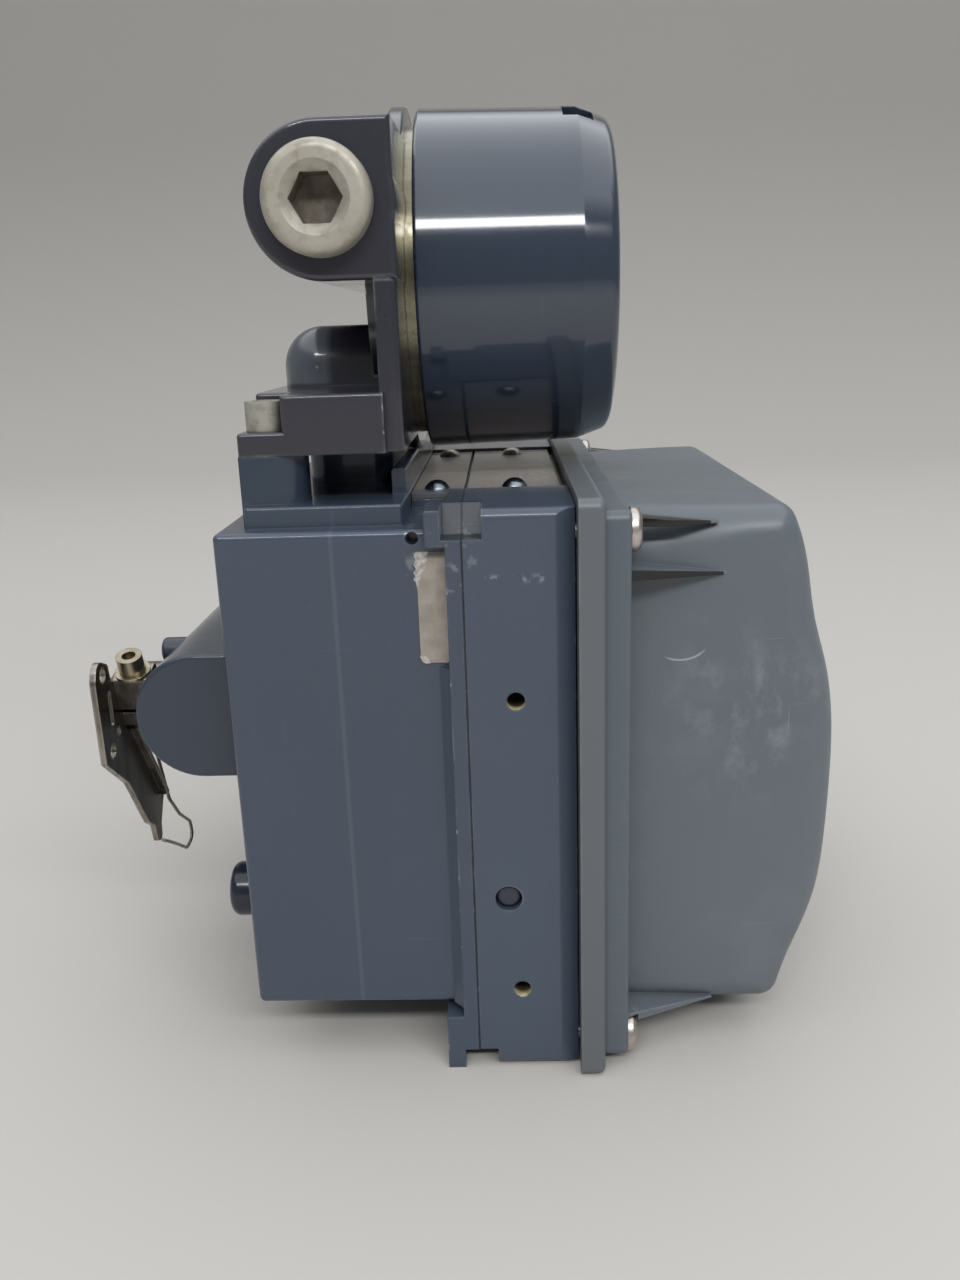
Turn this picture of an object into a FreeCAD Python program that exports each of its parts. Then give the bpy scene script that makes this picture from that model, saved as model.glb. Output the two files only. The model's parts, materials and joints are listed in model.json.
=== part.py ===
import FreeCAD, Part
import math
import os

# Electro-pneumatic valve positioner.
# Origin: centre of the four mounting holes on the rear face of the housing.
# +X runs from the rear face to the front cover, +Z is up, -Y is the side with the gauge holes.

V = FreeCAD.Vector
X_AXIS = V(1, 0, 0)
Y_AXIS = V(0, 1, 0)
Z_AXIS = V(0, 0, 1)

# Overall stance
floor_z = -75.5

# Housing casting
housing_depth = 55.0
housing_half_width = 72.0
housing_top_z = 59.9
housing_bottom_z = -59.0
housing_draft = 0.6
housing_wall = 7.0
housing_edge_r = 1.5
cavity_corner_r = 6.0
rim_thickness = 3.6
rim_half_width = housing_half_width + 3.5
rim_top_z = 64.5
rim_corner_r = 2.4
rim_root_r = 1.0
flare_width = 2.4
flare_step = 0.7
corner_pad_depth = 4.6
corner_pad_length = 13.0
corner_pad_height = 8.0
lip_depth = 4.2
lip_height = 14.5
pedestal_rear_x = 6.5
pedestal_front_x = housing_depth - 13.1
pedestal_half_width = housing_half_width - 5.5
pedestal_height = 4.9
pedestal_edge_r = 0.8
post_width = 14.5
post_length = 14.0
post_half_span = housing_half_width - 9.0
post_height = 10.0
neck_front_x = housing_depth - 19.0
neck_rear_x = neck_front_x - 21.0
neck_half_width = 30.0
neck_corner_r = 5.0
wire_hole_r = 8.0
rib_rear_x = housing_depth - 16.5
rib_thickness = 3.2
rib_gap = 0.5
rib_height = 6.2
rib_near_y = 13.5 - pedestal_half_width
rib_far_y = pedestal_half_width - 6.5
rib_edge_r = 0.8
shelf_rear_x = housing_depth - 13.0
cast_hole_r = 1.4
cast_hole_depth = 4.0
cast_hole_from_front = 10.9
cast_hole_drop = 1.9

# Rear boss that carries the travel shaft
boss_r = 15.7
boss_reach = 26.2
boss_near_y = 12.0 - housing_half_width
boss_far_y = housing_half_width - 32.0
boss_edge_r = 1.0
boss_rise = 1.3
pin_boss_r = 3.4
pin_boss_y = -30.0
pin_boss_rise = 8.4
pin_boss_reach = 27.2

# Rear mounting holes
mount_half_y = 42.0
mount_half_z = 45.0
mount_hole_r = 3.4
mount_hole_depth = 14.0
mount_boss_r = 8.0
mount_boss_depth = 18.0

# Vent plug on the rear face
vent_y = 14.0 - housing_half_width
vent_z = -34.0
vent_r = 6.8
vent_height = 7.0
vent_edge_r = 2.2
vent_stem_r = 4.0

# Travel shaft, bushes and feedback arm
shaft_r = 4.0
shaft_y = -32.0
shaft_z = 12.0
shaft_clearance = 0.04
bush_wall = 2.0
bush_length = 10.0
sensor_r = 14.0
sensor_length = 14.0
sensor_gap = 0.4
sensor_ear_y = 18.0
rotor_r = 10.0
rotor_length = 4.0
shaft_inner_end = 28.0
arm_gap = 1.4
hub_length = 9.0
hub_r = 7.0
arm_thickness = 1.5
arm_corner_r = 1.6
arm_lobe_r = 3.4
arm_fold_width = 2.0
arm_fold_start = 0.02
arm_fold_end = 0.96
clamp_ear_inset = 2.0
clamp_ear_r = 1.0
clamp_screw_r = 2.0
clamp_head_r = 3.3
clamp_head_height = 4.6
clamp_washer_r = 4.5
clamp_washer = 0.8
clamp_offset = 6.5
clamp_ear_top = 10.2
clamp_ear_bottom = 5.4
clamp_slit = 1.2
clamp_tilt = 20.0
spring_wire_r = 0.5
spring_bend_r = 3.5
spring_gap = 0.02

# Module base casting
base_depth = 24.6
base_half_width = rim_half_width - 0.2
base_top_z = rim_top_z
base_bottom_z = -75.2
base_shoulder_depth = 4.5
base_shoulder_width = 2.0
base_edge_r = rim_corner_r
gauge_hole_r = 2.1
gauge_hole_depth = 12.0
gauge_hole_x = housing_depth + 11.0
gauge_hole_high_z = 21.0
gauge_hole_low_z = -53.3
blank_x = housing_depth + 8.2
blank_z = -28.6
blank_r = 3.2
blank_recess = 1.2
port_r = 5.55
supply_port_depth = 14.0
supply_port_y = -20.0
output_port_depth = 12.0
output_port_y = 20.0
port_x = housing_depth + 12.0
base_screw_r = 3.0
base_screw_head_r = 5.0
base_screw_head = 6.0
base_screw_half_y = base_half_width - 11.3
base_screw_half_z = 43.0
base_screw_length = 16.0
base_screw_post = 4.0
base_seal_half_y = base_half_width - 4.8
base_seal_half_z = 57.0
base_seal_corner_r = 6.0

# Pry notches across the seam
notch_half_width = 4.4
notch_depth = 11.5
notch_floor_depth = 7.0
notch_top_floor_z = 58.0
slot_rear_x = housing_depth - 3.5
slot_front_x = housing_depth + 4.6
slot_depth = 16.0
slot_roof_z = -70.4

# Plates on the top face
plate_thickness = 1.5
plate_seat_z = rim_top_z - 2.4
plate_half_width = 43.0
plate_clearance = 0.3
plate_seam = 0.8
plate_front_x = housing_depth + base_depth - 1.2
plate_screw_ys = (-36.0, 33.0)
plate_screw_xs = (housing_depth - 7.1, housing_depth + 12.1)
dome_screw_r = 3.2
dome_screw_height = 2.2
dome_screw_shank_r = 1.5
dome_screw_length = 6.0

# Front cover
cover_gap = 0.3
flange_thickness = 5.9
flange_half_width = base_half_width + 4.7
flange_height = 142.3
flange_corner_r = 2.5
flange_edge_r = 1.6
step_thickness = 5.8
step_inset = 3.2
step_edge_r = 1.0
cover_wall = 3.0
bulge_inset = 15.0
bulge_top_round = 16.0
bulge_bottom_round = 7.0
bulge_corner_r = 5.0
cover_top_z = 61.5
cover_floor_z = -66.3
cover_profile = ((cover_top_z, 129.0), (47.2, 134.0), (34.8, 136.2), (23.3, 139.4), (11.6, 141.4),
                 (-4.4, 142.0), (-19.7, 141.6), (-38.3, 139.4), (-53.8, 134.2), (cover_floor_z, 131.0))
cover_screw_half_y = base_half_width - 4.3
cover_screw_high_z = 58.5
cover_screw_low_z = -68.3
cover_screw_r = 2.0
cover_screw_head_r = 5.0
cover_screw_head = 2.5
cover_screw_head_edge = 1.6
cover_screw_length = 18.0
cover_screw_clearance = 0.3
cross_slot_length = 2.4
cross_slot_width = 0.5
cross_slot_depth = 1.4
gusset_thickness = 2.6
gusset_places = ((cover_top_z - 2.9, 20.5, 1.2), (cover_top_z - 14.0, 24.0, 1.8),
                 (cover_floor_z + 1.4, 22.5, 0.0))
gusset_out = 8.5
head_relief = 0.4
seal_width = 2.6
seal_depth = 2.2
seal_touch = 0.1
cover_seal_half_y = base_half_width - 8.3
cover_seal_margin = 0.5
ring_r = 3.2
ring_room = 1.4
ring_thickness = 1.2

# Terminal box casting
cap_axis_z = 113.0
cap_r = 42.4
cap_draft = 0.9
cap_rear_x = housing_depth - 10.0
cap_length = 48.0
cap_front_length = 8.5
cap_front_draft = 3.0
cap_front_r = 3.0
cap_rear_r = 0.8
cap_wall = 3.6
cap_notch_width = 13.0
cap_notch_length = 7.5
cap_notch_from_front = 4.6
cap_notch_depth = 3.4
cap_notch_turn = 18.0
cap_notch_count = 2
disc_r = 42.9
disc_edge_r = 0.8
disc_front_x = cap_rear_x - 2.6
disc_thickness = 4.0
chamber_r = 37.0
chamber_rear_x = disc_front_x - 9.4
chamber_wall = 3.5
thread_gap = 0.3
neck_r = cap_r - cap_wall - thread_gap
cap_ring_offset = 4.0
cap_ring_width = 2.6
cap_ring_depth = 2.0
neck_length = 20.0
barrel_x = disc_front_x - 15.3
barrel_z = 128.5
barrel_r = 16.25
barrel_half_length = 60.0
barrel_front_x = disc_front_x + 0.4
barrel_edge_r = 1.2
conduit_r = 9.2
conduit_depth = 36.0
plug_bore_depth = 20.0
passage_r = 6.5
passage_half_width = 14.0
passage_half_height = 7.0
foot_rear_x = 5.5
foot_half_width = post_half_span
foot_thickness = 5.2
foot_block_rear_x = 15.7
foot_ledge_rear_x = 8.0
foot_screw_room = 1.0
foot_block_height = 8.0
foot_edge_r = 0.9
web_rear_x = disc_front_x - 4.9
web_front_x = disc_front_x
web_half_width = foot_half_width - 3.0
web_corner_r = 2.5
dome_rear_x = 9.5
dome_half_width = 30.0
dome_height = 14.5
dome_round = 10.0
gasket_thickness = 0.8
foot_screw_x = 11.0
foot_screw_y = foot_half_width - 6.0
foot_screw_r = 2.4
foot_screw_head_r = 4.3
foot_screw_head = 6.6
foot_screw_length = 14.0
foot_screw_clearance = 0.3
wire_hole_height = 27.0
wire_slot_reach = 8.0
dome_skin = 4.0
plug_head_r = 11.6
plug_head = 6.0
plug_hex_flat = 10.0
plug_hex_depth = 8.0
plug_sink_r = 7.4
plug_sink_depth = 1.8
plug_shank = 14.0
plug_edge_r = 2.2
thread_clearance = 0.1

# Pieces under the front cover and inside the terminal box
converter_size = (26.0, 52.0, 36.0)
converter_inset = 41.3
converter_at = (converter_inset - base_half_width, 34.0)
relay_size = (22.0, 46.0, 50.0)
relay_inset = 39.3
relay_at = (base_half_width - relay_inset, -28.0)
board_size = (30.0, 58.0, 66.0)
board_inset = 43.3
board_at = (board_inset - base_half_width, -26.0)
module_corner_r = 2.0
relay_disc_r = 9.0
relay_disc_height = 5.0
relay_disc_stem_r = 2.5
relay_disc_stem = 7.0
relay_disc_flutes = 12
flute_r = 1.2
module_screw_r = 1.5
module_screw_head_r = 2.8
module_screw_head = 2.6
module_screw_length = 7.0
module_screw_inset = 5.0
sensor_ear_half_height = 4.0
sensor_ear_thickness = 4.0
sensor_screw_grip = 3.0
terminal_size = (8.0, 44.0, 12.0)
terminal_count = 8
terminal_well = 3.0
terminal_barrier = 1.0
terminal_sill = 1.5
terminal_shank = 2.9
terminal_screw_r = 1.8
terminal_screw_head = 1.8
terminal_shank_r = 1.0
terminal_z = 100.0
label_width = 6.4
label_height = 25.4
label_thickness = 0.25
label_from_rim = 0.1
label_z = 29.6


def box(x0, x1, y0, y1, z0, z1):
    return Part.makeBox(x1 - x0, y1 - y0, z1 - z0, V(x0, y0, z0))


def cyl(r, length, at, axis):
    return Part.makeCylinder(r, length, V(*at), axis)


def rounded_plate(x, thickness, half_y, z0, z1, r):
    """Upright plate in the YZ plane with rounded corners, grown along +X."""
    plate = box(x, x + thickness, -half_y, half_y, z0, z1)
    corners = [e for e in plate.Edges if abs(e.tangentAt(e.FirstParameter).x) > 0.99]
    return plate.makeFillet(r, corners)


def edges_along(shape, axis, test):
    """Straight edges parallel to an axis whose middle passes the test."""
    found = []
    for e in shape.Edges:
        if not isinstance(e.Curve, (Part.Line, Part.LineSegment)):
            continue
        middle = e.valueAt((e.FirstParameter + e.LastParameter) / 2)
        if abs(e.tangentAt(e.FirstParameter).dot(axis)) > 0.99 and test(middle):
            found.append(e)
    return found


def prism(points, direction):
    """Closed polygon pushed along a direction."""
    loop = [V(*p) for p in points]
    return Part.Face(Part.makePolygon(loop + [loop[0]])).extrude(direction)


def hexagon(flat, at, depth, axis):
    """Hexagonal prism across flats, in the XZ plane, pushed along Y."""
    r = flat / math.sqrt(3)
    points = []
    for i in range(6):
        a = math.radians(60 * i)
        points.append((at[0] + r * math.cos(a), at[1], at[2] + r * math.sin(a)))
    return prism(points, axis * depth)


def fuse(first, *others):
    return first.fuse(list(others)).removeSplitter()


def save(name, shape):
    solids = shape.Solids
    if not shape.isValid():
        print("invalid", name)
    result = solids[0] if len(solids) == 1 else Part.makeCompound(solids)
    result.exportStep("parts/" + name + ".step")
    print(name, len(solids), round(result.Volume, 1))


seam_x = housing_depth
foot_z = housing_top_z + pedestal_height + post_height
base_front_x = seam_x + base_depth
cover_x = base_front_x + cover_gap
step_x = cover_x + flange_thickness
bulge_x = step_x + step_thickness
flange_top_z = floor_z + flange_height
arm_x = -boss_reach - arm_gap - hub_length - arm_thickness


def drafted_body():
    """Housing block, a little narrower at the rear face than at the rim."""
    half = housing_half_width
    body = box(0, housing_depth, -half, half, housing_bottom_z, housing_top_z)
    for side in (-1, 1):
        body = body.cut(prism(((-1, side * (half - housing_draft), housing_bottom_z - 1),
                               (housing_depth, side * half, housing_bottom_z - 1),
                               (housing_depth, side * (half + 1), housing_bottom_z - 1),
                               (-1, side * (half + 1), housing_bottom_z - 1)),
                              Z_AXIS * (housing_top_z - housing_bottom_z + 2)))
    long_edges = [e for e in body.Edges if e.BoundBox.XLength > housing_depth / 2]
    body = body.makeFillet(housing_edge_r, long_edges)
    return body.makeFillet(housing_edge_r, [e for e in body.Edges if e.BoundBox.XMax < 1e-3])


def pry_notches():
    """Sloped pocket on the top near corner of the seam and a slot below it."""
    near = -rim_half_width
    top = prism(((seam_x - notch_half_width, near - 1, notch_top_floor_z),
                 (seam_x - notch_half_width, near - 1, rim_top_z + 1),
                 (seam_x - notch_half_width, near + notch_depth, rim_top_z + 1),
                 (seam_x - notch_half_width, near + notch_floor_depth, notch_top_floor_z)),
                X_AXIS * (2 * notch_half_width))
    bottom = box(slot_rear_x, slot_front_x, near - 1, near + slot_depth, floor_z - 1, slot_roof_z)
    return top.fuse(bottom)


def plate_pocket():
    """Shallow recess across the seam that takes both top plates."""
    half = plate_half_width + plate_clearance
    return box(seam_x - rim_thickness - 1, base_front_x + 1, -half, half, plate_seat_z, rim_top_z + 1)


def mount_points():
    return [(y, z) for y in (-mount_half_y, mount_half_y) for z in (-mount_half_z, mount_half_z)]


def base_screw_points():
    return [(y, z) for y in (-base_screw_half_y, base_screw_half_y)
            for z in (-base_screw_half_z, base_screw_half_z)]


def make_housing():
    rim_x = housing_depth - rim_thickness
    body = drafted_body()
    rim = rounded_plate(rim_x, rim_thickness, rim_half_width, floor_z, rim_top_z, rim_corner_r)
    pedestal = box(pedestal_rear_x, pedestal_front_x, -pedestal_half_width, pedestal_half_width,
                   housing_top_z - 1, housing_top_z + pedestal_height)
    pedestal = pedestal.makeFillet(pedestal_edge_r, [e for e in pedestal.Edges
                                                     if e.CenterOfMass.z > housing_top_z - 0.9])
    shelf = box(shelf_rear_x, rim_x + 1, -plate_half_width, plate_half_width, housing_top_z - 1, plate_seat_z)
    pads = []
    for side in (-1, 1):
        near = side * (rim_half_width - corner_pad_length)
        far = side * rim_half_width
        pad = box(rim_x - corner_pad_depth, rim_x + 1, min(near, far), max(near, far),
                  rim_top_z - corner_pad_height, rim_top_z)
        lip = box(rim_x - lip_depth, rim_x + 1, min(near, far), max(near, far), floor_z, floor_z + lip_height)
        rounding = edges_along(pad, Y_AXIS, lambda m: m.x < rim_x) + edges_along(
            pad, Z_AXIS, lambda m: m.x < rim_x and abs(m.y) > rim_half_width - 1)
        pads += [pad.makeFillet(rim_root_r, rounding), lip]
    far_shelf = box(shelf_rear_x, rim_x + 1, plate_half_width + plate_clearance, housing_half_width - 1,
                    housing_top_z - 1, rim_top_z)
    body = fuse(body, rim, pedestal, shelf, far_shelf, *pads)
    for side in (-1, 1):
        wall = side * housing_half_width
        flare = prism(((rim_x - flare_width, wall, housing_bottom_z),
                       (rim_x - flare_width, wall - side, housing_bottom_z),
                       (rim_x + 1, wall - side, housing_bottom_z),
                       (rim_x + 1, side * (rim_half_width - flare_step), housing_bottom_z),
                       (rim_x, side * (rim_half_width - flare_step), housing_bottom_z)),
                      Z_AXIS * (label_z - 1 - housing_bottom_z))
        body = body.fuse(flare)

    for side in (-1, 1):
        near = side * post_half_span
        far = near - side * post_length
        post = box(foot_rear_x, foot_rear_x + post_width, min(near, far), max(near, far),
                   housing_top_z, foot_z + gasket_thickness)
        inner = edges_along(post, Z_AXIS, lambda m: m.x > foot_rear_x + 1)
        post = post.makeFillet(post_length * 0.48, inner)
        body = body.fuse(post)
    neck = box(neck_rear_x, neck_front_x, -neck_half_width, neck_half_width, housing_top_z, foot_z)
    neck = neck.makeFillet(neck_corner_r, edges_along(neck, Z_AXIS, lambda m: True))
    rib = box(rib_rear_x, rib_rear_x + rib_thickness, rib_near_y, rib_far_y,
              housing_top_z, housing_top_z + pedestal_height + rib_height)
    rib = rib.makeFillet(rib_edge_r, edges_along(rib, Y_AXIS, lambda m: m.z > housing_top_z + 1))
    rib = rib.cut(cyl(disc_r + rib_gap, housing_depth, (0, 0, cap_axis_z), X_AXIS))
    body = fuse(body, neck, rib, make_rear_boss())

    half = housing_half_width - housing_wall
    cavity = box(housing_wall, seam_x + 1, -half, half,
                 housing_bottom_z + housing_wall, housing_top_z - housing_wall)
    cavity = cavity.makeFillet(cavity_corner_r, edges_along(cavity, X_AXIS, lambda m: True))
    bosses = [cyl(mount_boss_r, mount_boss_depth - 1, (1, y, z), X_AXIS) for y, z in mount_points()]
    post_r = base_screw_r + base_screw_post
    for y, z in base_screw_points():
        wall_y = math.copysign(half + 1, y)
        bosses.append(box(seam_x - base_screw_length - base_screw_post, seam_x,
                          min(y - post_r, wall_y) if y < 0 else y - post_r,
                          max(y + post_r, wall_y) if y > 0 else y + post_r, z - post_r, z + post_r).common(
                              box(0, seam_x, -half - 1, half + 1, z - post_r, z + post_r)))
    body = body.cut(cavity)
    body = fuse(body, *bosses)

    cuts = [cyl(mount_hole_r, mount_hole_depth, (0, y, z), X_AXIS) for y, z in mount_points()]
    cuts += [cyl(base_screw_r, base_screw_length, (seam_x - base_screw_length, y, z), X_AXIS)
             for y, z in base_screw_points()]
    cuts.append(cyl(shaft_r + shaft_clearance + bush_wall, boss_reach + housing_wall + 2,
                    (-boss_reach - 1, shaft_y, shaft_z), X_AXIS))
    cuts.append(cyl(wire_hole_r, foot_z, ((neck_rear_x + neck_front_x) / 2, 0, 1), Z_AXIS))
    cuts += [cyl(foot_screw_r, foot_screw_length + gasket_thickness + 1,
                 (foot_screw_x, y, foot_z - foot_screw_length), Z_AXIS)
             for y in (-foot_screw_y, foot_screw_y)]
    cuts.append(cyl(vent_stem_r, housing_wall + 2, (-1, vent_y, vent_z), X_AXIS))
    cuts += [cyl(dome_screw_shank_r, dome_screw_length,
                 (plate_screw_xs[0], y, plate_seat_z - dome_screw_length), Z_AXIS) for y in plate_screw_ys]
    cuts += [cyl(module_screw_r, housing_wall, (housing_wall - 4, shaft_y + side * sensor_ear_y, shaft_z),
                 X_AXIS) for side in (-1, 1)]
    cuts.append(cyl(cast_hole_r, cast_hole_depth + 2, (seam_x - cast_hole_from_front, -housing_half_width - 2,
                                                       housing_top_z - cast_hole_drop), Y_AXIS))
    cuts += [pry_notches(), plate_pocket()]
    for tool in cuts:
        body = body.cut(tool)
    return body


def make_rear_boss():
    """Half-round boss across the rear face, with a round pin boss beside it."""
    cz = shaft_z + boss_rise
    cx = boss_r - boss_reach
    length = boss_far_y - boss_near_y
    arc = Part.Arc(V(cx, boss_near_y, cz + boss_r), V(cx - boss_r, boss_near_y, cz),
                   V(cx, boss_near_y, cz - boss_r))
    sides = [Part.makeLine(V(1, boss_near_y, cz - boss_r), V(cx, boss_near_y, cz - boss_r)),
             Part.makeLine(V(cx, boss_near_y, cz + boss_r), V(1, boss_near_y, cz + boss_r)),
             Part.makeLine(V(1, boss_near_y, cz + boss_r), V(1, boss_near_y, cz - boss_r))]
    outline = Part.Wire(Part.__sortEdges__([arc.toShape()] + sides))
    boss = Part.Face(outline).extrude(Y_AXIS * length)
    ends = [e for e in boss.Edges if abs(e.BoundBox.YLength) < 1e-6 and e.BoundBox.XMin < -1]
    boss = boss.makeFillet(boss_edge_r, ends)
    pin = cyl(pin_boss_r, pin_boss_reach, (-pin_boss_reach, pin_boss_y, cz + pin_boss_rise), X_AXIS)
    pin = pin.makeFillet(boss_edge_r, [e for e in pin.Edges if e.BoundBox.XMax < 1 - pin_boss_reach])
    return boss.fuse(pin)


def make_module_base():
    base = box(seam_x, base_front_x, -base_half_width, base_half_width, base_bottom_z, base_top_z)
    base = base.cut(base_shoulders())
    level = edges_along(base, X_AXIS, lambda m: True)
    base = base.makeFillet(base_edge_r, level)
    cuts = [cyl(gauge_hole_r, gauge_hole_depth, (gauge_hole_x, -base_half_width, z), Y_AXIS)
            for z in (gauge_hole_high_z, gauge_hole_low_z)]
    cuts.append(cyl(blank_r, blank_recess + 3, (blank_x, -base_half_width, blank_z), Y_AXIS))
    cuts += [cyl(port_r, depth, (port_x, y, base_bottom_z), Z_AXIS)
             for y, depth in ((supply_port_y, supply_port_depth), (output_port_y, output_port_depth))]
    for y, z in base_screw_points():
        cuts.append(cyl(base_screw_r, base_depth, (seam_x, y, z), X_AXIS))
        cuts.append(cyl(base_screw_head_r + 0.5, base_screw_head + 1,
                        (base_front_x - base_screw_head - 1, y, z), X_AXIS))
    cuts += [cyl(cover_screw_r + thread_clearance, cover_screw_length,
                 (base_front_x - cover_screw_length, y, z), X_AXIS) for y, z in cover_screw_points()]
    cuts += [cyl(dome_screw_shank_r, dome_screw_length,
                 (plate_screw_xs[1], y, plate_seat_z - dome_screw_length), Z_AXIS) for y in plate_screw_ys]
    cuts.append(base_seal_ring())
    for size, at in ((converter_size, converter_at), (relay_size, relay_at), (board_size, board_at)):
        cuts += [cyl(module_screw_r, module_screw_length + 1,
                     (base_front_x - module_screw_length - 1, y, z), X_AXIS)
                 for y, z in module_screw_points(size, at)]
    cuts += [pry_notches(), plate_pocket()]
    for tool in cuts:
        base = base.cut(tool)
    return base


def base_shoulders():
    """Slopes that narrow both sides of the module base just behind the cover."""
    slopes = []
    for side in (-1, 1):
        outer = side * (base_half_width + 1)
        slopes.append(prism(((base_front_x - base_shoulder_depth, side * base_half_width, base_bottom_z - 1),
                             (base_front_x - base_shoulder_depth, outer, base_bottom_z - 1),
                             (base_front_x + 1, outer, base_bottom_z - 1),
                             (base_front_x + 1, side * (base_half_width - base_shoulder_width),
                              base_bottom_z - 1)),
                            Z_AXIS * (base_top_z - base_bottom_z + 2)))
    return Part.makeCompound(slopes)


def cover_screw_points():
    return [(y, z) for y in (-cover_screw_half_y, cover_screw_half_y)
            for z in (cover_screw_low_z, cover_screw_high_z)]


def module_screw_points(size, at):
    return [(at[0] + s * (size[1] / 2 - module_screw_inset), at[1] + s * (size[2] / 2 - module_screw_inset))
            for s in (-1, 1)]


def bulge(shrink, x0):
    """Waved front of the cover: one side profile pushed across and rounded at both ends."""
    top = cover_top_z - shrink
    bottom = cover_floor_z + shrink
    half = flange_half_width - bulge_inset - shrink
    points = [V(x - shrink, -half, min(max(z, bottom), top)) for z, x in cover_profile]
    curve = Part.BSplineCurve()
    curve.interpolate(points)
    edges = [curve.toShape(),
             Part.makeLine(points[-1], V(x0, -half, bottom)),
             Part.makeLine(V(x0, -half, bottom), V(x0, -half, top)),
             Part.makeLine(V(x0, -half, top), points[0])]
    solid = Part.Face(Part.Wire(edges)).extrude(Y_AXIS * (2 * half))
    corners = [e for e in solid.Edges if abs(e.CenterOfMass.y) < 1e-6 and e.CenterOfMass.x > x0 + 1]
    solid = solid.makeFillet(bulge_corner_r - shrink * 0.8, corners)
    for side in (-1, 1):
        chain = [e for e in solid.Edges if abs(e.CenterOfMass.y - side * half) < 1e-3
                 and e.BoundBox.ZMin > top - 1e-3 and e.CenterOfMass.x > x0 + 0.5]
        solid = solid.makeFillet(bulge_top_round - shrink, bulge_bottom_round - shrink, chain)
    return solid


def make_cover():
    flange = rounded_plate(cover_x, flange_thickness, flange_half_width, floor_z, flange_top_z,
                           flange_corner_r)
    flange = flange.makeFillet(flange_edge_r, [e for e in flange.Edges if e.BoundBox.XMin > step_x - 1e-3])
    step = rounded_plate(step_x - 1, step_thickness + 1, flange_half_width - step_inset,
                         floor_z + step_inset, flange_top_z - step_inset, flange_corner_r)
    step = step.makeFillet(step_edge_r, [e for e in step.Edges if e.BoundBox.XMin > bulge_x - 1e-3])
    outer = bulge(0.0, step_x)
    inner = bulge(cover_wall, cover_x - 1)
    body = fuse(flange, step, outer)
    gussets = []
    wall_y = flange_half_width - bulge_inset
    for side in (-1, 1):
        for z, reach, drop in gusset_places:
            gussets.append(gusset(side, wall_y, z, reach, drop))
    gussets = Part.makeCompound(gussets)
    for y, z in cover_screw_points():
        gussets = gussets.cut(cyl(cover_screw_head_r + head_relief, cover_screw_head + head_relief,
                                  (bulge_x, y, z), X_AXIS))
    body = fuse(body, *gussets.Solids).cut(inner)
    for y, z in cover_screw_points():
        body = body.cut(cyl(cover_screw_r + cover_screw_clearance, 30, (cover_x - 1, y, z), X_AXIS))
        body = body.cut(cyl(ring_r + cover_screw_clearance, ring_thickness + ring_room,
                            (cover_x - 1, y, z), X_AXIS))
    body = body.cut(seal_ring(seal_depth, 0.0))
    return max(body.Solids, key=lambda solid: solid.Volume)


def gusset(side, wall_y, z, reach, drop):
    """Wedge that runs out along the side wall, thinning and dropping towards its tip."""
    tip = bulge_x + reach
    plan = prism(((bulge_x - 1, side * (wall_y - 2), z - 5),
                  (bulge_x - 1, side * (wall_y + gusset_out), z - 5),
                  (bulge_x, side * (wall_y + gusset_out), z - 5),
                  (tip, side * (wall_y - 0.5), z - 5),
                  (tip, side * (wall_y - 2), z - 5)), Z_AXIS * 12)
    edge = prism(((bulge_x - 1, -flange_half_width, z),
                  (bulge_x - 1, -flange_half_width, z + gusset_thickness),
                  (tip, -flange_half_width, z + gusset_thickness * 0.5 - drop),
                  (tip, -flange_half_width, z + gusset_thickness * 0.3 - drop)),
                 Y_AXIS * (2 * flange_half_width))
    return plan.common(edge)


def seal_ring(depth, proud):
    """Square-section seal in the rear face of the cover."""
    return frame_ring(cover_x - proud, depth + proud, cover_seal_half_y, cover_floor_z - cover_seal_margin,
                      cover_top_z + cover_seal_margin, base_seal_corner_r, seal_width)


def pan_head(r, height, at, axis):
    """Low domed screw head."""
    sphere_r = (r * r + height * height) / (2 * height)
    centre = V(*at) + axis * (height - sphere_r)
    ball = Part.makeSphere(sphere_r, centre)
    return ball.common(cyl(r, height, at, axis))


def make_cover_screws():
    screws = []
    for y, z in cover_screw_points():
        head = cyl(cover_screw_head_r, cover_screw_head, (bulge_x, y, z), X_AXIS)
        head = head.makeFillet(cover_screw_head_edge,
                               [e for e in head.Edges if e.BoundBox.XMin > bulge_x + cover_screw_head - 0.1])
        rest = base_front_x - cover_screw_length + 2
        shank = cyl(cover_screw_r, bulge_x - rest, (rest, y, z), X_AXIS)
        cross = [box(bulge_x + cover_screw_head - cross_slot_depth, bulge_x + cover_screw_head + 1,
                     y - a, y + a, z - b, z + b)
                 for a, b in ((cross_slot_length, cross_slot_width), (cross_slot_width, cross_slot_length))]
        screws.append(head.fuse(shank).cut(cross[0].fuse(cross[1])))
    return Part.makeCompound(screws)


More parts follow.
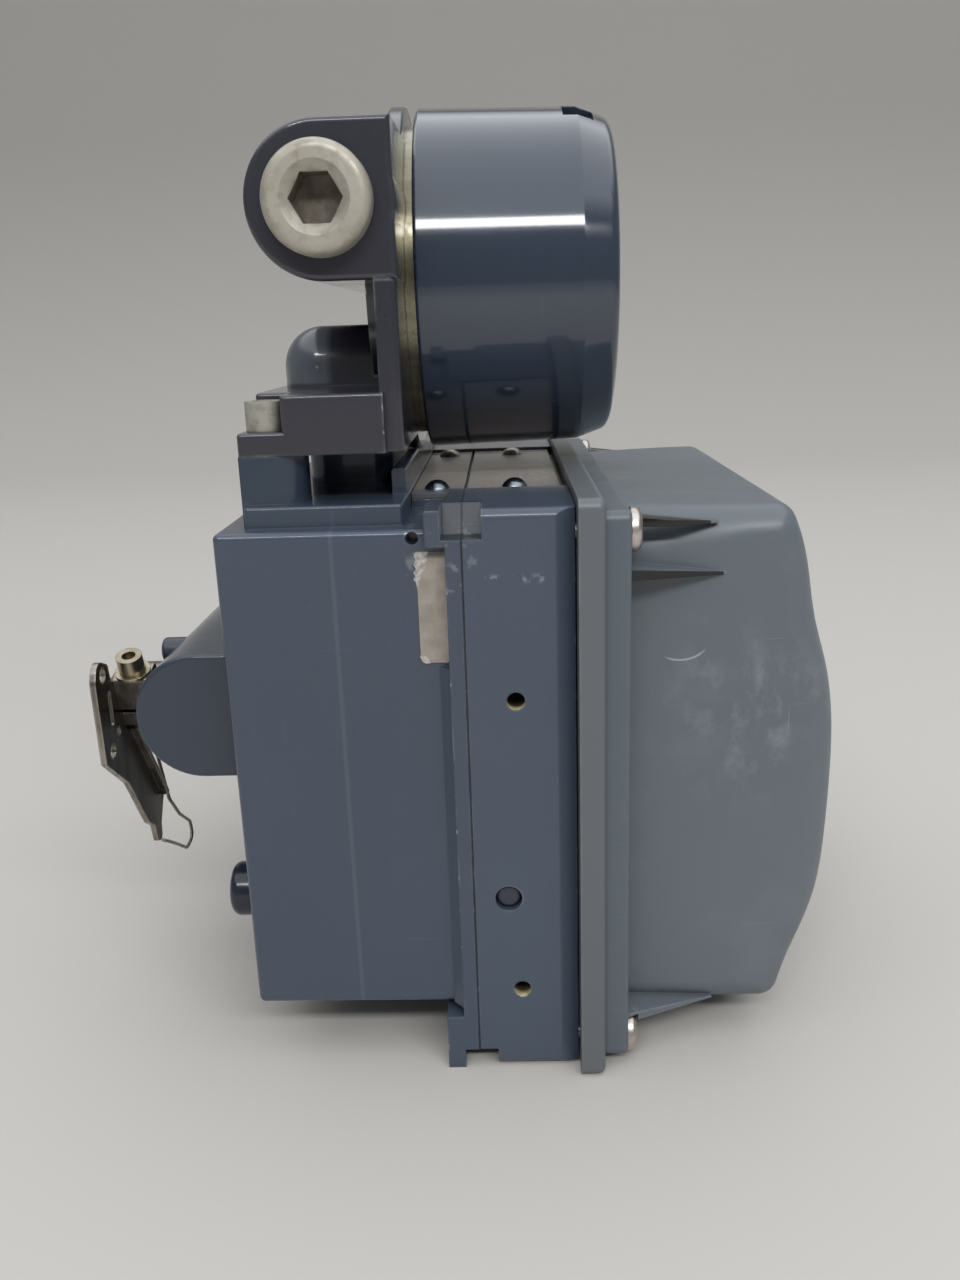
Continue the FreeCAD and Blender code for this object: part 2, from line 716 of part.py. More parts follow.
def terminal_casting():
    """Whole casting of the terminal box; its three named portions are cut out of it below."""
    bottom = foot_z + gasket_thickness
    top = bottom + foot_thickness + foot_block_height
    chamber = cyl(chamber_r, disc_front_x - chamber_rear_x, (chamber_rear_x, 0, cap_axis_z), X_AXIS)
    disc = cyl(disc_r, disc_thickness, (disc_front_x - disc_thickness, 0, cap_axis_z), X_AXIS)
    disc = disc.makeFillet(disc_edge_r, [disc.Edges[0], disc.Edges[2]])
    neck = cyl(neck_r, neck_length, (disc_front_x, 0, cap_axis_z), X_AXIS)
    barrel = cyl(barrel_r, 2 * barrel_half_length, (barrel_x, -barrel_half_length, barrel_z), Y_AXIS)
    flank = box(barrel_x, barrel_front_x, -barrel_half_length, barrel_half_length,
                barrel_z - barrel_r, barrel_z + barrel_r)
    barrel = barrel.fuse(flank).removeSplitter()
    barrel = barrel.makeFillet(barrel_edge_r, [e for e in barrel.Edges if e.BoundBox.YLength < 1e-3])
    foot = box(foot_rear_x, web_rear_x + 1, -foot_half_width, foot_half_width,
               bottom, bottom + foot_thickness)
    foot = foot.makeFillet(foot_edge_r, [e for e in foot.Edges if e.CenterOfMass.x < web_rear_x
                                         and e.CenterOfMass.z > bottom + 0.1])
    block = box(foot_block_rear_x, web_rear_x + 1, -foot_half_width, foot_half_width, bottom, top)
    block = block.makeFillet(foot_edge_r, [e for e in block.Edges if e.CenterOfMass.x < web_rear_x
                                           and e.CenterOfMass.z > bottom + 0.1])
    ledge_half = foot_screw_y - foot_screw_head_r - foot_screw_room
    ledge = box(foot_ledge_rear_x, web_rear_x + 1, -ledge_half, ledge_half, bottom, top)
    ledge = ledge.makeFillet(foot_edge_r, [e for e in ledge.Edges if e.CenterOfMass.x < web_rear_x
                                           and e.CenterOfMass.z > bottom + 0.1])
    web = box(web_rear_x, web_front_x, -web_half_width, web_half_width, bottom, cap_axis_z)
    web = web.makeFillet(web_corner_r, edges_along(web, Z_AXIS, lambda m: m.x > web_rear_x + 1))
    dome = box(dome_rear_x, web_rear_x + 1, -dome_half_width, dome_half_width, bottom, top + dome_height)
    dome = dome.makeFillet(dome_round,
                           edges_along(dome, Y_AXIS, lambda m: m.x < dome_rear_x + 1 and m.z > top)
                           + edges_along(dome, X_AXIS, lambda m: m.z > top)
                           + edges_along(dome, Z_AXIS, lambda m: m.x < dome_rear_x + 1))
    body = fuse(chamber, disc, neck, barrel, foot, block, ledge, web, dome)
    floor_x = chamber_rear_x + chamber_wall
    wire_x = (neck_rear_x + neck_front_x) / 2
    passage_start = plug_bore_depth - barrel_half_length - 1
    cuts = [cap_ring_groove(),
            cyl(chamber_r - chamber_wall, neck_length + disc_front_x, (floor_x, 0, cap_axis_z), X_AXIS),
            cyl(conduit_r, plug_bore_depth + 1, (barrel_x, -barrel_half_length - 1, barrel_z), Y_AXIS),
            cyl(conduit_r, conduit_depth + 1,
                (barrel_x, barrel_half_length - conduit_depth, barrel_z), Y_AXIS),
            cyl(passage_r, barrel_half_length - conduit_depth + 1 - passage_start,
                (barrel_x, passage_start, barrel_z), Y_AXIS),
            box(barrel_x, floor_x + 1, -passage_half_width, passage_half_width,
                barrel_z - passage_half_height, barrel_z + passage_half_height),
            cyl(wire_hole_r, wire_hole_height, (wire_x, 0, bottom - 1), Z_AXIS),
            box(wire_x, floor_x + wire_slot_reach, -passage_half_height, passage_half_height,
                bottom + foot_thickness, top + dome_height - dome_skin)]
    cuts += [cyl(foot_screw_r + foot_screw_clearance, foot_thickness + 2,
                 (foot_screw_x, y, bottom - 1), Z_AXIS)
             for y in (-foot_screw_y, foot_screw_y)]
    for tool in cuts:
        body = body.cut(tool)
    return body


def cap_ring_groove():
    x = disc_front_x + cap_ring_offset
    outer = cyl(neck_r + 1, cap_ring_width, (x, 0, cap_axis_z), X_AXIS)
    return outer.cut(cyl(neck_r - cap_ring_depth, cap_ring_width, (x, 0, cap_axis_z), X_AXIS))


def chamber_zone():
    cup = cyl(chamber_r, disc_front_x - chamber_rear_x, (chamber_rear_x, 0, cap_axis_z), X_AXIS)
    front = cyl(disc_r + 0.1, disc_thickness + neck_length,
                (disc_front_x - disc_thickness, 0, cap_axis_z), X_AXIS)
    return cup.fuse(front)


def barrel_zone():
    half = barrel_half_length + 1
    return box(0, web_front_x + 1, -half, half, barrel_z - barrel_r, barrel_z + barrel_r + 1)


def make_cap():
    front_x = cap_rear_x + cap_length
    split_x = front_x - cap_front_length
    split_r = cap_r - cap_draft
    main = Part.makeCone(cap_r, split_r, split_x - cap_rear_x, V(cap_rear_x, 0, cap_axis_z), X_AXIS)
    nose = Part.makeCone(split_r, split_r - cap_front_draft, cap_front_length,
                         V(split_x, 0, cap_axis_z), X_AXIS)
    nose = nose.makeFillet(cap_front_r, [e for e in nose.Edges if e.BoundBox.XMin > front_x - 0.1])
    shell = main.fuse(nose)
    shell = shell.makeFillet(cap_rear_r, [e for e in shell.Edges if e.BoundBox.XMax < cap_rear_x + 0.1])
    inner_r = cap_r - cap_wall
    shell = shell.cut(cyl(inner_r, split_x - cap_rear_x + 1, (cap_rear_x - 1, 0, cap_axis_z), X_AXIS))
    shell = shell.cut(cyl(inner_r - cap_front_draft, cap_length - cap_wall,
                          (cap_rear_x, 0, cap_axis_z), X_AXIS))
    for i in range(cap_notch_count):
        end_x = front_x - cap_notch_from_front
        notch = box(end_x - cap_notch_length, end_x, -cap_notch_width / 2, cap_notch_width / 2,
                    split_r - cap_notch_depth, cap_r + 1)
        notch.translate(V(0, 0, cap_axis_z))
        notch.rotate(V(0, 0, cap_axis_z), X_AXIS, 360 / cap_notch_count * i + cap_notch_turn)
        shell = shell.cut(notch)
    return shell


def make_plug():
    """Hexagon-socket stopping plug in the near end of the barrel."""
    y0 = -barrel_half_length
    face_y = y0 - plug_head
    head = cyl(plug_head_r, plug_head, (barrel_x, face_y, barrel_z), Y_AXIS)
    head = head.makeFillet(plug_edge_r, [e for e in head.Edges if e.BoundBox.YMax < face_y + 0.1])
    shank = cyl(conduit_r - thread_clearance, plug_shank, (barrel_x, y0, barrel_z), Y_AXIS)
    sink = Part.makeCone(plug_sink_r, plug_hex_flat / 2, plug_sink_depth,
                         V(barrel_x, face_y, barrel_z), Y_AXIS)
    plug = head.fuse(shank).cut(sink)
    return plug.cut(hexagon(plug_hex_flat, (barrel_x, face_y, barrel_z), plug_hex_depth, Y_AXIS))


def socket_screw(head_r, head_h, shank_r, length, at, axis):
    """Cap screw whose head seats at the given point and whose shank runs back along the axis."""
    head = cyl(head_r, head_h, at, axis)
    shank_at = V(*at) - axis * length
    shank = cyl(shank_r, length, (shank_at.x, shank_at.y, shank_at.z), axis)
    socket_at = V(*at) + axis * (head_h * 0.45)
    socket = cyl(head_r * 0.52, head_h, (socket_at.x, socket_at.y, socket_at.z), axis)
    return head.fuse(shank).cut(socket)


def rounded_path(points, r):
    """Straight runs joined by tangent arcs, all in one plane of constant X."""
    edges = []
    start = V(*points[0])
    for before, here, after in zip(points, points[1:], points[2:]):
        a, b, c = V(*before), V(*here), V(*after)
        u = (a - b).normalize()
        w = (c - b).normalize()
        half = math.acos(max(-1, min(1, u.dot(w)))) / 2
        cut = min(r / math.tan(half), (a - b).Length * 0.45, (c - b).Length * 0.45)
        p, q = b + u * cut, b + w * cut
        centre = b + (u + w).normalize() * (cut / math.cos(half))
        middle = centre + (b - centre).normalize() * ((p - centre).Length)
        edges += [Part.makeLine(start, p), Part.Arc(p, middle, q).toShape()]
        start = q
    edges.append(Part.makeLine(start, V(*points[-1])))
    return Part.Wire(edges)


def wire_form(points, r, bend):
    path = rounded_path(points, bend)
    first = V(*points[0])
    along = (V(*points[1]) - first).normalize()
    ring = Part.Wire([Part.makeCircle(r, first, along)])
    return path.makePipeShell([ring], True, True)


def arm_point(y, z):
    """Place in the arm's own plane, measured from the shaft axis."""
    return (arm_x, shaft_y + y, shaft_z + z)


arm_fold_from = (-4.0, -8.6)
arm_fold_to = (14.1, -37.1)
arm_outline = ((-21.1, 14.1), (-14.5, 11.2), (-13.6, 6.2), (-9.2, 6.0), (-2.0, 7.4), (5.2, 5.4), (7.4, -0.8),
               (5.2, -6.2), arm_fold_from, arm_fold_to, (9.4, -44.2), (8.9, -49.2), (5.4, -48.2),
               (4.2, -42.6), (0.1, -39.8), (-10.7, -23.0), (-23.3, -12.7), (-23.7, 8.8))
arm_round_holes = ((-18.5, 9.5, 1.9), (-12.7, -7.5, 1.1), (-18.1, -11.0, 1.9))
arm_slot = (-16.0, -0.2, 1.0, 4.6)
spring_path = ((6.2, -4.4), (8.4, -16.0), (13.0, -29.6), (16.4, -40.0), (23.7, -48.4), (32.4, -55.0),
               (33.4, -60.6), (26.8, -61.4), (18.5, -55.8), (12.0, -51.6), (7.6, -49.0))


def make_arm():
    """Punched plate with a lip folded up along its right edge."""
    plate = prism([arm_point(*p) for p in arm_outline], X_AXIS * arm_thickness)
    lobes = [V(*arm_point(*p)) for p in (arm_outline[0], arm_outline[-1])]
    for edge in edges_along(plate, X_AXIS, lambda m: True):
        m = edge.CenterOfMass
        near_lobe = any(abs(m.y - p.y) + abs(m.z - p.z) < 1e-3 for p in lobes)
        corner = [e for e in edges_along(plate, X_AXIS, lambda q: True)
                  if abs(e.CenterOfMass.y - m.y) + abs(e.CenterOfMass.z - m.z) < 1e-3]
        plate = plate.makeFillet(arm_lobe_r if near_lobe else arm_corner_r, corner)
    start = V(*arm_point(*arm_fold_from))
    run = V(*arm_point(*arm_fold_to)) - start
    inward = run.cross(X_AXIS).normalize() * arm_thickness
    rise = X_AXIS * (arm_thickness + arm_fold_width)
    foot, top = arm_fold_start, arm_fold_end
    lip = [start + run * foot, start + run * top, start + run * top + rise, start + run * foot + rise]
    plate = plate.fuse(Part.Face(Part.makePolygon(lip + [lip[0]])).extrude(inward))
    holes = [cyl(r, arm_thickness + 2, arm_point(y, z), X_AXIS) for y, z, r in arm_round_holes]
    holes.append(cyl(shaft_r, arm_thickness + 2, arm_point(0, 0), X_AXIS))
    y, z, half_width, half_length = arm_slot
    slot = box(0, arm_thickness + 2, -half_width, half_width, -half_length, half_length)
    slot = slot.makeFillet(half_width * 0.95, edges_along(slot, X_AXIS, lambda m: True))
    slot.translate(V(*arm_point(y, z)))
    holes.append(slot)
    for hole in holes:
        hole.translate(V(-1, 0, 0))
        plate = plate.cut(hole)
    return plate


def make_hub():
    """Split clamp round the shaft, with two ears for the clamp screw."""
    x0 = arm_x + arm_thickness
    ear_end = shaft_y - clamp_offset - clamp_head_r
    hub = cyl(hub_r, hub_length, (x0, shaft_y, shaft_z), X_AXIS)
    ear = box(x0, x0 + hub_length, ear_end, shaft_y - clamp_ear_inset,
              shaft_z - clamp_ear_bottom, shaft_z + clamp_ear_top)
    ear = ear.makeFillet(clamp_ear_r, edges_along(ear, X_AXIS, lambda m: m.y < ear_end + 1 or m.z > shaft_z))
    slit = box(x0 - 1, x0 + hub_length + 1, ear_end - 1, shaft_y,
               shaft_z - clamp_slit / 2, shaft_z + clamp_slit / 2)
    hub = hub.fuse(ear).cut(slit)
    hub = hub.cut(cyl(shaft_r, hub_length + 2, (x0 - 1, shaft_y, shaft_z), X_AXIS))
    hub = hub.cut(cyl(clamp_screw_r, clamp_ear_bottom + clamp_ear_top + 2,
                      clamp_point(-clamp_ear_bottom - 1), Z_AXIS))
    return tilt(hub)


def clamp_point(z):
    return (arm_x + arm_thickness + hub_length / 2, shaft_y - clamp_offset, shaft_z + z)


def tilt(shape):
    turned = shape.copy()
    turned.rotate(V(0, shaft_y, shaft_z), X_AXIS, clamp_tilt)
    return turned


def make_clamp_screw():
    """Cap screw down through both ears."""
    seat = clamp_ear_top + clamp_washer
    return tilt(socket_screw(clamp_head_r, clamp_head_height, clamp_screw_r - 0.02,
                             seat + clamp_ear_bottom, clamp_point(seat), Z_AXIS))


def make_clamp_washer():
    ring = cyl(clamp_washer_r, clamp_washer, clamp_point(clamp_ear_top), Z_AXIS)
    hole = cyl(clamp_screw_r + 0.1, clamp_washer + 2, clamp_point(clamp_ear_top - 1), Z_AXIS)
    return tilt(ring.cut(hole))


def make_spring():
    """Bent wire from the hub to the tip of the arm that takes up the play on the actuator's pin."""
    x = arm_thickness + spring_wire_r + spring_gap
    wire = wire_form([arm_point(y, z) for y, z in spring_path], spring_wire_r, spring_bend_r)
    wire.translate(V(x, 0, 0))
    return wire


def make_shaft():
    start = arm_x - 1.0
    shaft = cyl(shaft_r, shaft_inner_end - start, (start, shaft_y, shaft_z), X_AXIS)
    return shaft.makeChamfer(0.5, [e for e in shaft.Edges if e.CenterOfMass.x < start + 0.1])


def make_bushes():
    outer_r = shaft_r + shaft_clearance + bush_wall
    bushes = []
    for x in (-boss_reach, housing_wall - bush_length):
        bush = cyl(outer_r, bush_length, (x, shaft_y, shaft_z), X_AXIS)
        bushes.append(bush.cut(cyl(shaft_r + shaft_clearance, bush_length + 2,
                                   (x - 1, shaft_y, shaft_z), X_AXIS)))
    return Part.makeCompound(bushes)


def make_sensor():
    """Travel sensor body on the inner wall, open for the shaft."""
    body = cyl(sensor_r, sensor_length, (housing_wall, shaft_y, shaft_z), X_AXIS)
    ears = box(housing_wall, housing_wall + sensor_ear_thickness,
               shaft_y - sensor_ear_y - sensor_ear_half_height, shaft_y + sensor_ear_y + sensor_ear_half_height,
               shaft_z - sensor_ear_half_height, shaft_z + sensor_ear_half_height)
    body = body.fuse(ears)
    body = body.cut(cyl(shaft_r + sensor_gap, sensor_length + 2,
                        (housing_wall - 1, shaft_y, shaft_z), X_AXIS))
    for side in (-1, 1):
        body = body.cut(cyl(module_screw_r, sensor_ear_thickness + 2,
                            (housing_wall - 1, shaft_y + side * sensor_ear_y, shaft_z), X_AXIS))
    return body


def make_sensor_screws():
    seat = housing_wall + sensor_ear_thickness
    length = sensor_ear_thickness + sensor_screw_grip
    return Part.makeCompound([socket_screw(module_screw_head_r, module_screw_head, module_screw_r - 0.02,
                                           length, (seat, shaft_y + side * sensor_ear_y, shaft_z), X_AXIS)
                              for side in (-1, 1)])


def make_rotor():
    x = housing_wall + sensor_length + sensor_gap
    disc = cyl(rotor_r, rotor_length, (x, shaft_y, shaft_z), X_AXIS)
    return disc.cut(cyl(shaft_r, rotor_length + 2, (x - 1, shaft_y, shaft_z), X_AXIS))


def make_vent():
    head = cyl(vent_r, vent_height, (-vent_height, vent_y, vent_z), X_AXIS)
    head = head.makeFillet(vent_edge_r, [e for e in head.Edges if e.CenterOfMass.x < 0.1 - vent_height])
    return head.fuse(cyl(vent_stem_r - 0.02, housing_wall, (0, vent_y, vent_z), X_AXIS))


def frame_ring(x, thickness, half_y, z0, z1, r, width):
    outer = rounded_plate(x, thickness, half_y, z0, z1, r)
    inner = rounded_plate(x, thickness, half_y - width, z0 + width, z1 - width, r - width / 2)
    return outer.cut(inner)


def base_seal_ring():
    return frame_ring(seam_x, seal_depth, base_seal_half_y, -base_seal_half_z, base_seal_half_z,
                      base_seal_corner_r, seal_width)


def make_base_screws():
    seat = base_front_x - base_screw_head - 1
    length = seat - seam_x + base_screw_length - 1
    return Part.makeCompound([socket_screw(base_screw_head_r, base_screw_head, base_screw_r - 0.05, length,
                                           (seat, y, z), X_AXIS) for y, z in base_screw_points()])


def make_top_plate(x0, x1):
    plate = box(x0, x1, -plate_half_width, plate_half_width, plate_seat_z, plate_seat_z + plate_thickness)
    for x in plate_screw_xs:
        if x0 < x < x1:
            for y in plate_screw_ys:
                hole = cyl(dome_screw_shank_r + 0.1, plate_thickness + 2, (x, y, plate_seat_z - 1), Z_AXIS)
                plate = plate.cut(hole)
    return plate


def make_plate_screws():
    screws = []
    top = plate_seat_z + plate_thickness
    for x in plate_screw_xs:
        for y in plate_screw_ys:
            head = pan_head(dome_screw_r, dome_screw_height, (x, y, top), Z_AXIS)
            length = plate_thickness + dome_screw_length - 1
            screws.append(head.fuse(cyl(dome_screw_shank_r - 0.02, length, (x, y, top - length), Z_AXIS)))
    return Part.makeCompound(screws)


def make_blank():
    """Domed button that closes the unused port between the gauge holes."""
    floor_y = -base_half_width + blank_recess + 3
    button = cyl(blank_r - 0.3, 3.0, (blank_x, floor_y - 3.0, blank_z), Y_AXIS)
    return button.makeFillet(0.8, [e for e in button.Edges if e.CenterOfMass.y < floor_y - 2.9])


def make_cover_rings():
    """Retaining rings that keep the screws with the cover."""
    rings = []
    for y, z in cover_screw_points():
        ring = cyl(ring_r, ring_thickness, (cover_x + 0.2, y, z), X_AXIS)
        rings.append(ring.cut(cyl(cover_screw_r, 5, (cover_x - 1, y, z), X_AXIS)))
    return Part.makeCompound(rings)


def make_module(size, at):
    """Encapsulated block screwed to the front of the module base."""
    block = box(base_front_x, base_front_x + size[0], at[0] - size[1] / 2, at[0] + size[1] / 2,
                at[1] - size[2] / 2, at[1] + size[2] / 2)
    block = block.makeFillet(module_corner_r, edges_along(block, X_AXIS, lambda m: True))
    for y, z in module_screw_points(size, at):
        block = block.cut(cyl(module_screw_r + 0.1, size[0] + 2, (base_front_x - 1, y, z), X_AXIS))
    return block


def make_module_screws(size, at):
    seat = base_front_x + size[0]
    return Part.makeCompound([socket_screw(module_screw_head_r, module_screw_head, module_screw_r - 0.02,
                                           size[0] + module_screw_length, (seat, y, z), X_AXIS)
                              for y, z in module_screw_points(size, at)])


def make_relay():
    relay = make_module(relay_size, relay_at)
    front = base_front_x + relay_size[0]
    depth = relay_disc_stem + 1
    bore = cyl(relay_disc_stem_r + shaft_clearance, depth + 1,
               (front - depth, relay_at[0], relay_at[1]), X_AXIS)
    return relay.cut(bore)


def make_relay_disc():
    """Knurled disc with a stem that turns in the relay."""
    x = base_front_x + relay_size[0] + cover_gap
    disc = cyl(relay_disc_r, relay_disc_height, (x, relay_at[0], relay_at[1]), X_AXIS)
    flute_at = relay_disc_r + flute_r * 0.4
    for i in range(relay_disc_flutes):
        a = 2 * math.pi * i / relay_disc_flutes
        disc = disc.cut(cyl(flute_r, relay_disc_height, (x, relay_at[0] + flute_at * math.cos(a),
                                                         relay_at[1] + flute_at * math.sin(a)), X_AXIS))
    stem = cyl(relay_disc_stem_r, relay_disc_stem, (x - relay_disc_stem, relay_at[0], relay_at[1]), X_AXIS)
    return disc.fuse(stem)


def make_cap_ring():
    x = disc_front_x + cap_ring_offset
    outer = cyl(neck_r + thread_gap / 2, cap_ring_width, (x, 0, cap_axis_z), X_AXIS)
    return outer.cut(cyl(neck_r - cap_ring_depth, cap_ring_width + 2, (x - 1, 0, cap_axis_z), X_AXIS))


def make_gasket():
    """Gasket between the neck on the housing and the foot of the terminal box."""
    sheet = box(neck_rear_x, neck_front_x, -neck_half_width, neck_half_width,
                foot_z, foot_z + gasket_thickness)
    sheet = sheet.makeFillet(neck_corner_r, edges_along(sheet, Z_AXIS, lambda m: True))
    return sheet.cut(cyl(wire_hole_r, 10, ((neck_rear_x + neck_front_x) / 2, 0, foot_z - 1), Z_AXIS))


def make_foot_screws():
    seat = foot_z + gasket_thickness + foot_thickness
    return Part.makeCompound([socket_screw(foot_screw_head_r, foot_screw_head, foot_screw_r - 0.02,
                                           foot_thickness + foot_screw_length - 2,
                                           (foot_screw_x, y, seat), Z_AXIS)
                              for y in (-foot_screw_y, foot_screw_y)])


def terminal_places():
    pitch = terminal_size[1] / terminal_count
    return [(i - (terminal_count - 1) / 2) * pitch for i in range(terminal_count)]


def make_terminal_strip():
    """Row of terminals on the floor of the wiring chamber, with barriers between them."""
    x = chamber_rear_x + chamber_wall
    strip = box(x, x + terminal_size[0], -terminal_size[1] / 2 - 2, terminal_size[1] / 2 + 2,
                terminal_z - terminal_size[2] / 2, terminal_z + terminal_size[2] / 2)
    pitch = terminal_size[1] / terminal_count
    for y in terminal_places():
        half = pitch / 2 - terminal_barrier / 2
        well = box(x + terminal_size[0] - terminal_well, x + terminal_size[0] + 1, y - half, y + half,
                   terminal_z - terminal_size[2] / 2 + terminal_sill, terminal_z + terminal_size[2])
        strip = strip.cut(well)
        strip = strip.cut(cyl(terminal_shank_r, terminal_size[0], (x + 2, y, terminal_z), X_AXIS))
    return strip


def make_terminal_screws():
    seat = chamber_rear_x + chamber_wall + terminal_size[0] - terminal_well
    screws = []
    for y in terminal_places():
        head = cyl(terminal_screw_r, terminal_screw_head, (seat, y, terminal_z), X_AXIS)
        shank = cyl(terminal_shank_r - 0.02, terminal_shank, (seat - terminal_shank, y, terminal_z), X_AXIS)
        screws.append(head.fuse(shank))
    return Part.makeCompound(screws)


def make_label():
    x1 = seam_x - rim_thickness - label_from_rim
    strip = box(x1 - label_width, x1, -housing_half_width - label_thickness, 1 - housing_half_width,
                label_z, label_z + label_height)
    return strip.cut(drafted_body())


os.makedirs("parts", exist_ok=True)
save("housing", make_housing())
save("module_base", make_module_base())
save("base_seal", base_seal_ring())
save("base_screws", make_base_screws())
save("rear_plate_top", make_top_plate(shelf_rear_x, seam_x - plate_seam / 2))
save("front_plate_top", make_top_plate(seam_x + plate_seam / 2, plate_front_x))
save("plate_screws", make_plate_screws())
save("port_blank", make_blank())
save("rear_vent", make_vent())
save("blank_label", make_label())
save("shaft_bushes", make_bushes())
save("travel_sensor", make_sensor())
save("sensor_screws", make_sensor_screws())
save("current_converter", make_module(converter_size, converter_at))
save("converter_screws", make_module_screws(converter_size, converter_at))
save("pneumatic_relay", make_relay())
save("relay_screws", make_module_screws(relay_size, relay_at))
save("electronics_module", make_module(board_size, board_at))
save("electronics_screws", make_module_screws(board_size, board_at))
casting = terminal_casting()
save("terminal_chamber", casting.common(chamber_zone()))
casting = casting.cut(chamber_zone())
save("conduit_barrel", casting.common(barrel_zone()))
save("terminal_box", casting.cut(barrel_zone()))
save("terminal_box_gasket", make_gasket())
save("terminal_box_screws", make_foot_screws())
save("terminal_strip", make_terminal_strip())
save("terminal_screws", make_terminal_screws())
save("cap_seal", make_cap_ring())
save("conduit_plug", make_plug())
save("terminal_cap", make_cap())
save("front_cover", make_cover())
save("cover_seal", seal_ring(seal_depth, cover_gap - seal_touch))
save("cover_screws", make_cover_screws())
save("screw_rings", make_cover_rings())
save("relay_disc", make_relay_disc())
save("travel_shaft", make_shaft())
save("sensor_rotor", make_rotor())
save("arm_hub", make_hub())
save("feedback_arm", make_arm())
save("clamp_screw", make_clamp_screw())
save("clamp_washer", make_clamp_washer())
save("bias_spring", make_spring())
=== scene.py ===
import json
import math

import bmesh
import bpy
from bpy.props import FloatProperty, FloatVectorProperty, PointerProperty
from mathutils import Matrix, Vector


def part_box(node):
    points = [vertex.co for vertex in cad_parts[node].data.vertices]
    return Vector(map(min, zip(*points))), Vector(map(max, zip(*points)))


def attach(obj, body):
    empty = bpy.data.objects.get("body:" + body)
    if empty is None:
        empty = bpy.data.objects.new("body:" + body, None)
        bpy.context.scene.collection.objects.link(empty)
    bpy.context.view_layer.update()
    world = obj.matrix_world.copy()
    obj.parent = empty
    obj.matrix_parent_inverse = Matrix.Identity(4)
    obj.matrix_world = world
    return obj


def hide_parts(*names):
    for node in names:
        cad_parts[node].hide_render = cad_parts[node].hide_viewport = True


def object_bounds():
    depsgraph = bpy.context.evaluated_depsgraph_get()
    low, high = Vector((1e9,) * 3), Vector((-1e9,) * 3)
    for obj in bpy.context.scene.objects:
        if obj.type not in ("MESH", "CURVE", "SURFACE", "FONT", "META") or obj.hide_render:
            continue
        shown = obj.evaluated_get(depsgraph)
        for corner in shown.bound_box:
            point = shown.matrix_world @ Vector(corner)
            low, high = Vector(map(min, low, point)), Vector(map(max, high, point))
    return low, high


bl_info = {
    "name": "Valve Positioner",
    "version": (1, 0, 0),
    "blender": (4, 5, 0),
    "location": "View3D > Sidebar > Positioner",
    "description": "Finishes and small pieces of an electro-pneumatic valve positioner",
    "category": "Object",
}

MM = 0.001
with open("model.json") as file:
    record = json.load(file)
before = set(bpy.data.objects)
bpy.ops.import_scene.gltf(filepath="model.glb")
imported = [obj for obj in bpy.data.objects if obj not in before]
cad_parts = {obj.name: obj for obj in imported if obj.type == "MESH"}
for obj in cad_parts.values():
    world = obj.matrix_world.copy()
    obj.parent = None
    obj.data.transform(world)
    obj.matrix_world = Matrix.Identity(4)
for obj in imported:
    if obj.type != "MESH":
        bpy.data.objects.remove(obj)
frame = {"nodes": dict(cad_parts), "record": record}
NODES = frame["nodes"]
CAD_BOX = [list(corner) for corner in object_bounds()]
FLOOR_Z = CAD_BOX[0][2]
SEAM_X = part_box("housing")[1].x
COVER_LOW, COVER_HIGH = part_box("front_cover")
CAP_LOW, CAP_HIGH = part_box("terminal_cap")
CAP_AXIS_Z = (CAP_LOW.z + CAP_HIGH.z) / 2

# Places on the castings. A pair says where something starts and ends.
PARTING_X = 26.2 * MM
PARTING_HALF = 0.2 * MM
SEAM_HALF = 0.2 * MM
PEDESTAL_FRONT_X = 43 * MM
PEDESTAL_Z = 60.3 * MM
POST_Z = 65.2 * MM
NOTCH_HALF = 4.3 * MM
NOTCH_DEPTH = (63.5 * MM, 75 * MM)
NOTCH_HEIGHT = (55 * MM, 70 * MM)
HOUSING_SCRAPES = (((43.0 * MM, 55.5 * MM), (47.0 * MM, 60.5 * MM), 0.4),)
BASE_SCRAPES = (((60.2 * MM, 72.4 * MM), (48.5 * MM, 49.6 * MM), 0.6),
                ((55.5 * MM, 60.0 * MM), (52.0 * MM, 60.0 * MM), 0.3))
COLLAR_LENGTH = 20.1 * MM
COLLAR_R = 39.5 * MM
DOME_HEIGHT = (90 * MM, 105 * MM)
DOME_FRONT_X = 21 * MM
# Where the plates' near blue gives way to their brown-grey, partly a painted reflection of the pale wall
REAR_PLATE_FADE_Y = (-28 * MM, -40 * MM)
FRONT_PLATE_FADE_Y = (-22 * MM, -40 * MM)
HEXAGON_R = 6.4 * MM

# Places on the front cover
RIM_DEPTH = 5.9 * MM
FLANGE_DEPTH = 11.7 * MM
RIB_ROOT_Y = 65.3 * MM
TOP_RIB_DROP = 9 * MM
SCUFF_CENTRE = (121 * MM, -65 * MM, 12 * MM)
SCUFF_REACH = (26 * MM, 8 * MM)
SCRATCH_CENTRE = (104.2 * MM, -65 * MM, 34.6 * MM)
SCRATCH_R = 8.1 * MM
SCRATCH_HALF = 0.12 * MM
SCRATCH_X = (102.0 * MM, 108.6 * MM)

# Outlines of the label and of the paper left under it, in fractions of its width and height
LABEL_EDGE = ((0.22, 0.0), (0.09, 0.01), (0.03, 0.03), (0.0, 0.07), (0.0, 0.69), (0.07, 0.715),
              (0.04, 0.745), (0.17, 0.77), (0.13, 0.8), (0.22, 0.825), (0.31, 0.865), (0.27, 0.9),
              (0.39, 0.93), (0.36, 0.97), (0.43, 1.0), (1.0, 1.0), (1.0, 0.0))
TORN_EDGE = ((0.0, 0.66), (-0.05, 0.74), (-0.13, 0.755), (-0.05, 0.785), (-0.12, 0.82), (-0.02, 0.85),
             (-0.1, 0.89), (-0.03, 0.93), (-0.07, 0.98), (0.02, 1.0), (0.5, 1.0), (0.5, 0.66))
PEEL_EDGE = ((0.2, -0.008), (0.05, 0.012), (-0.03, 0.06), (0.1, 0.09), (0.28, 0.05), (0.34, -0.004))
LABEL_THICKNESS = 0.5 * MM
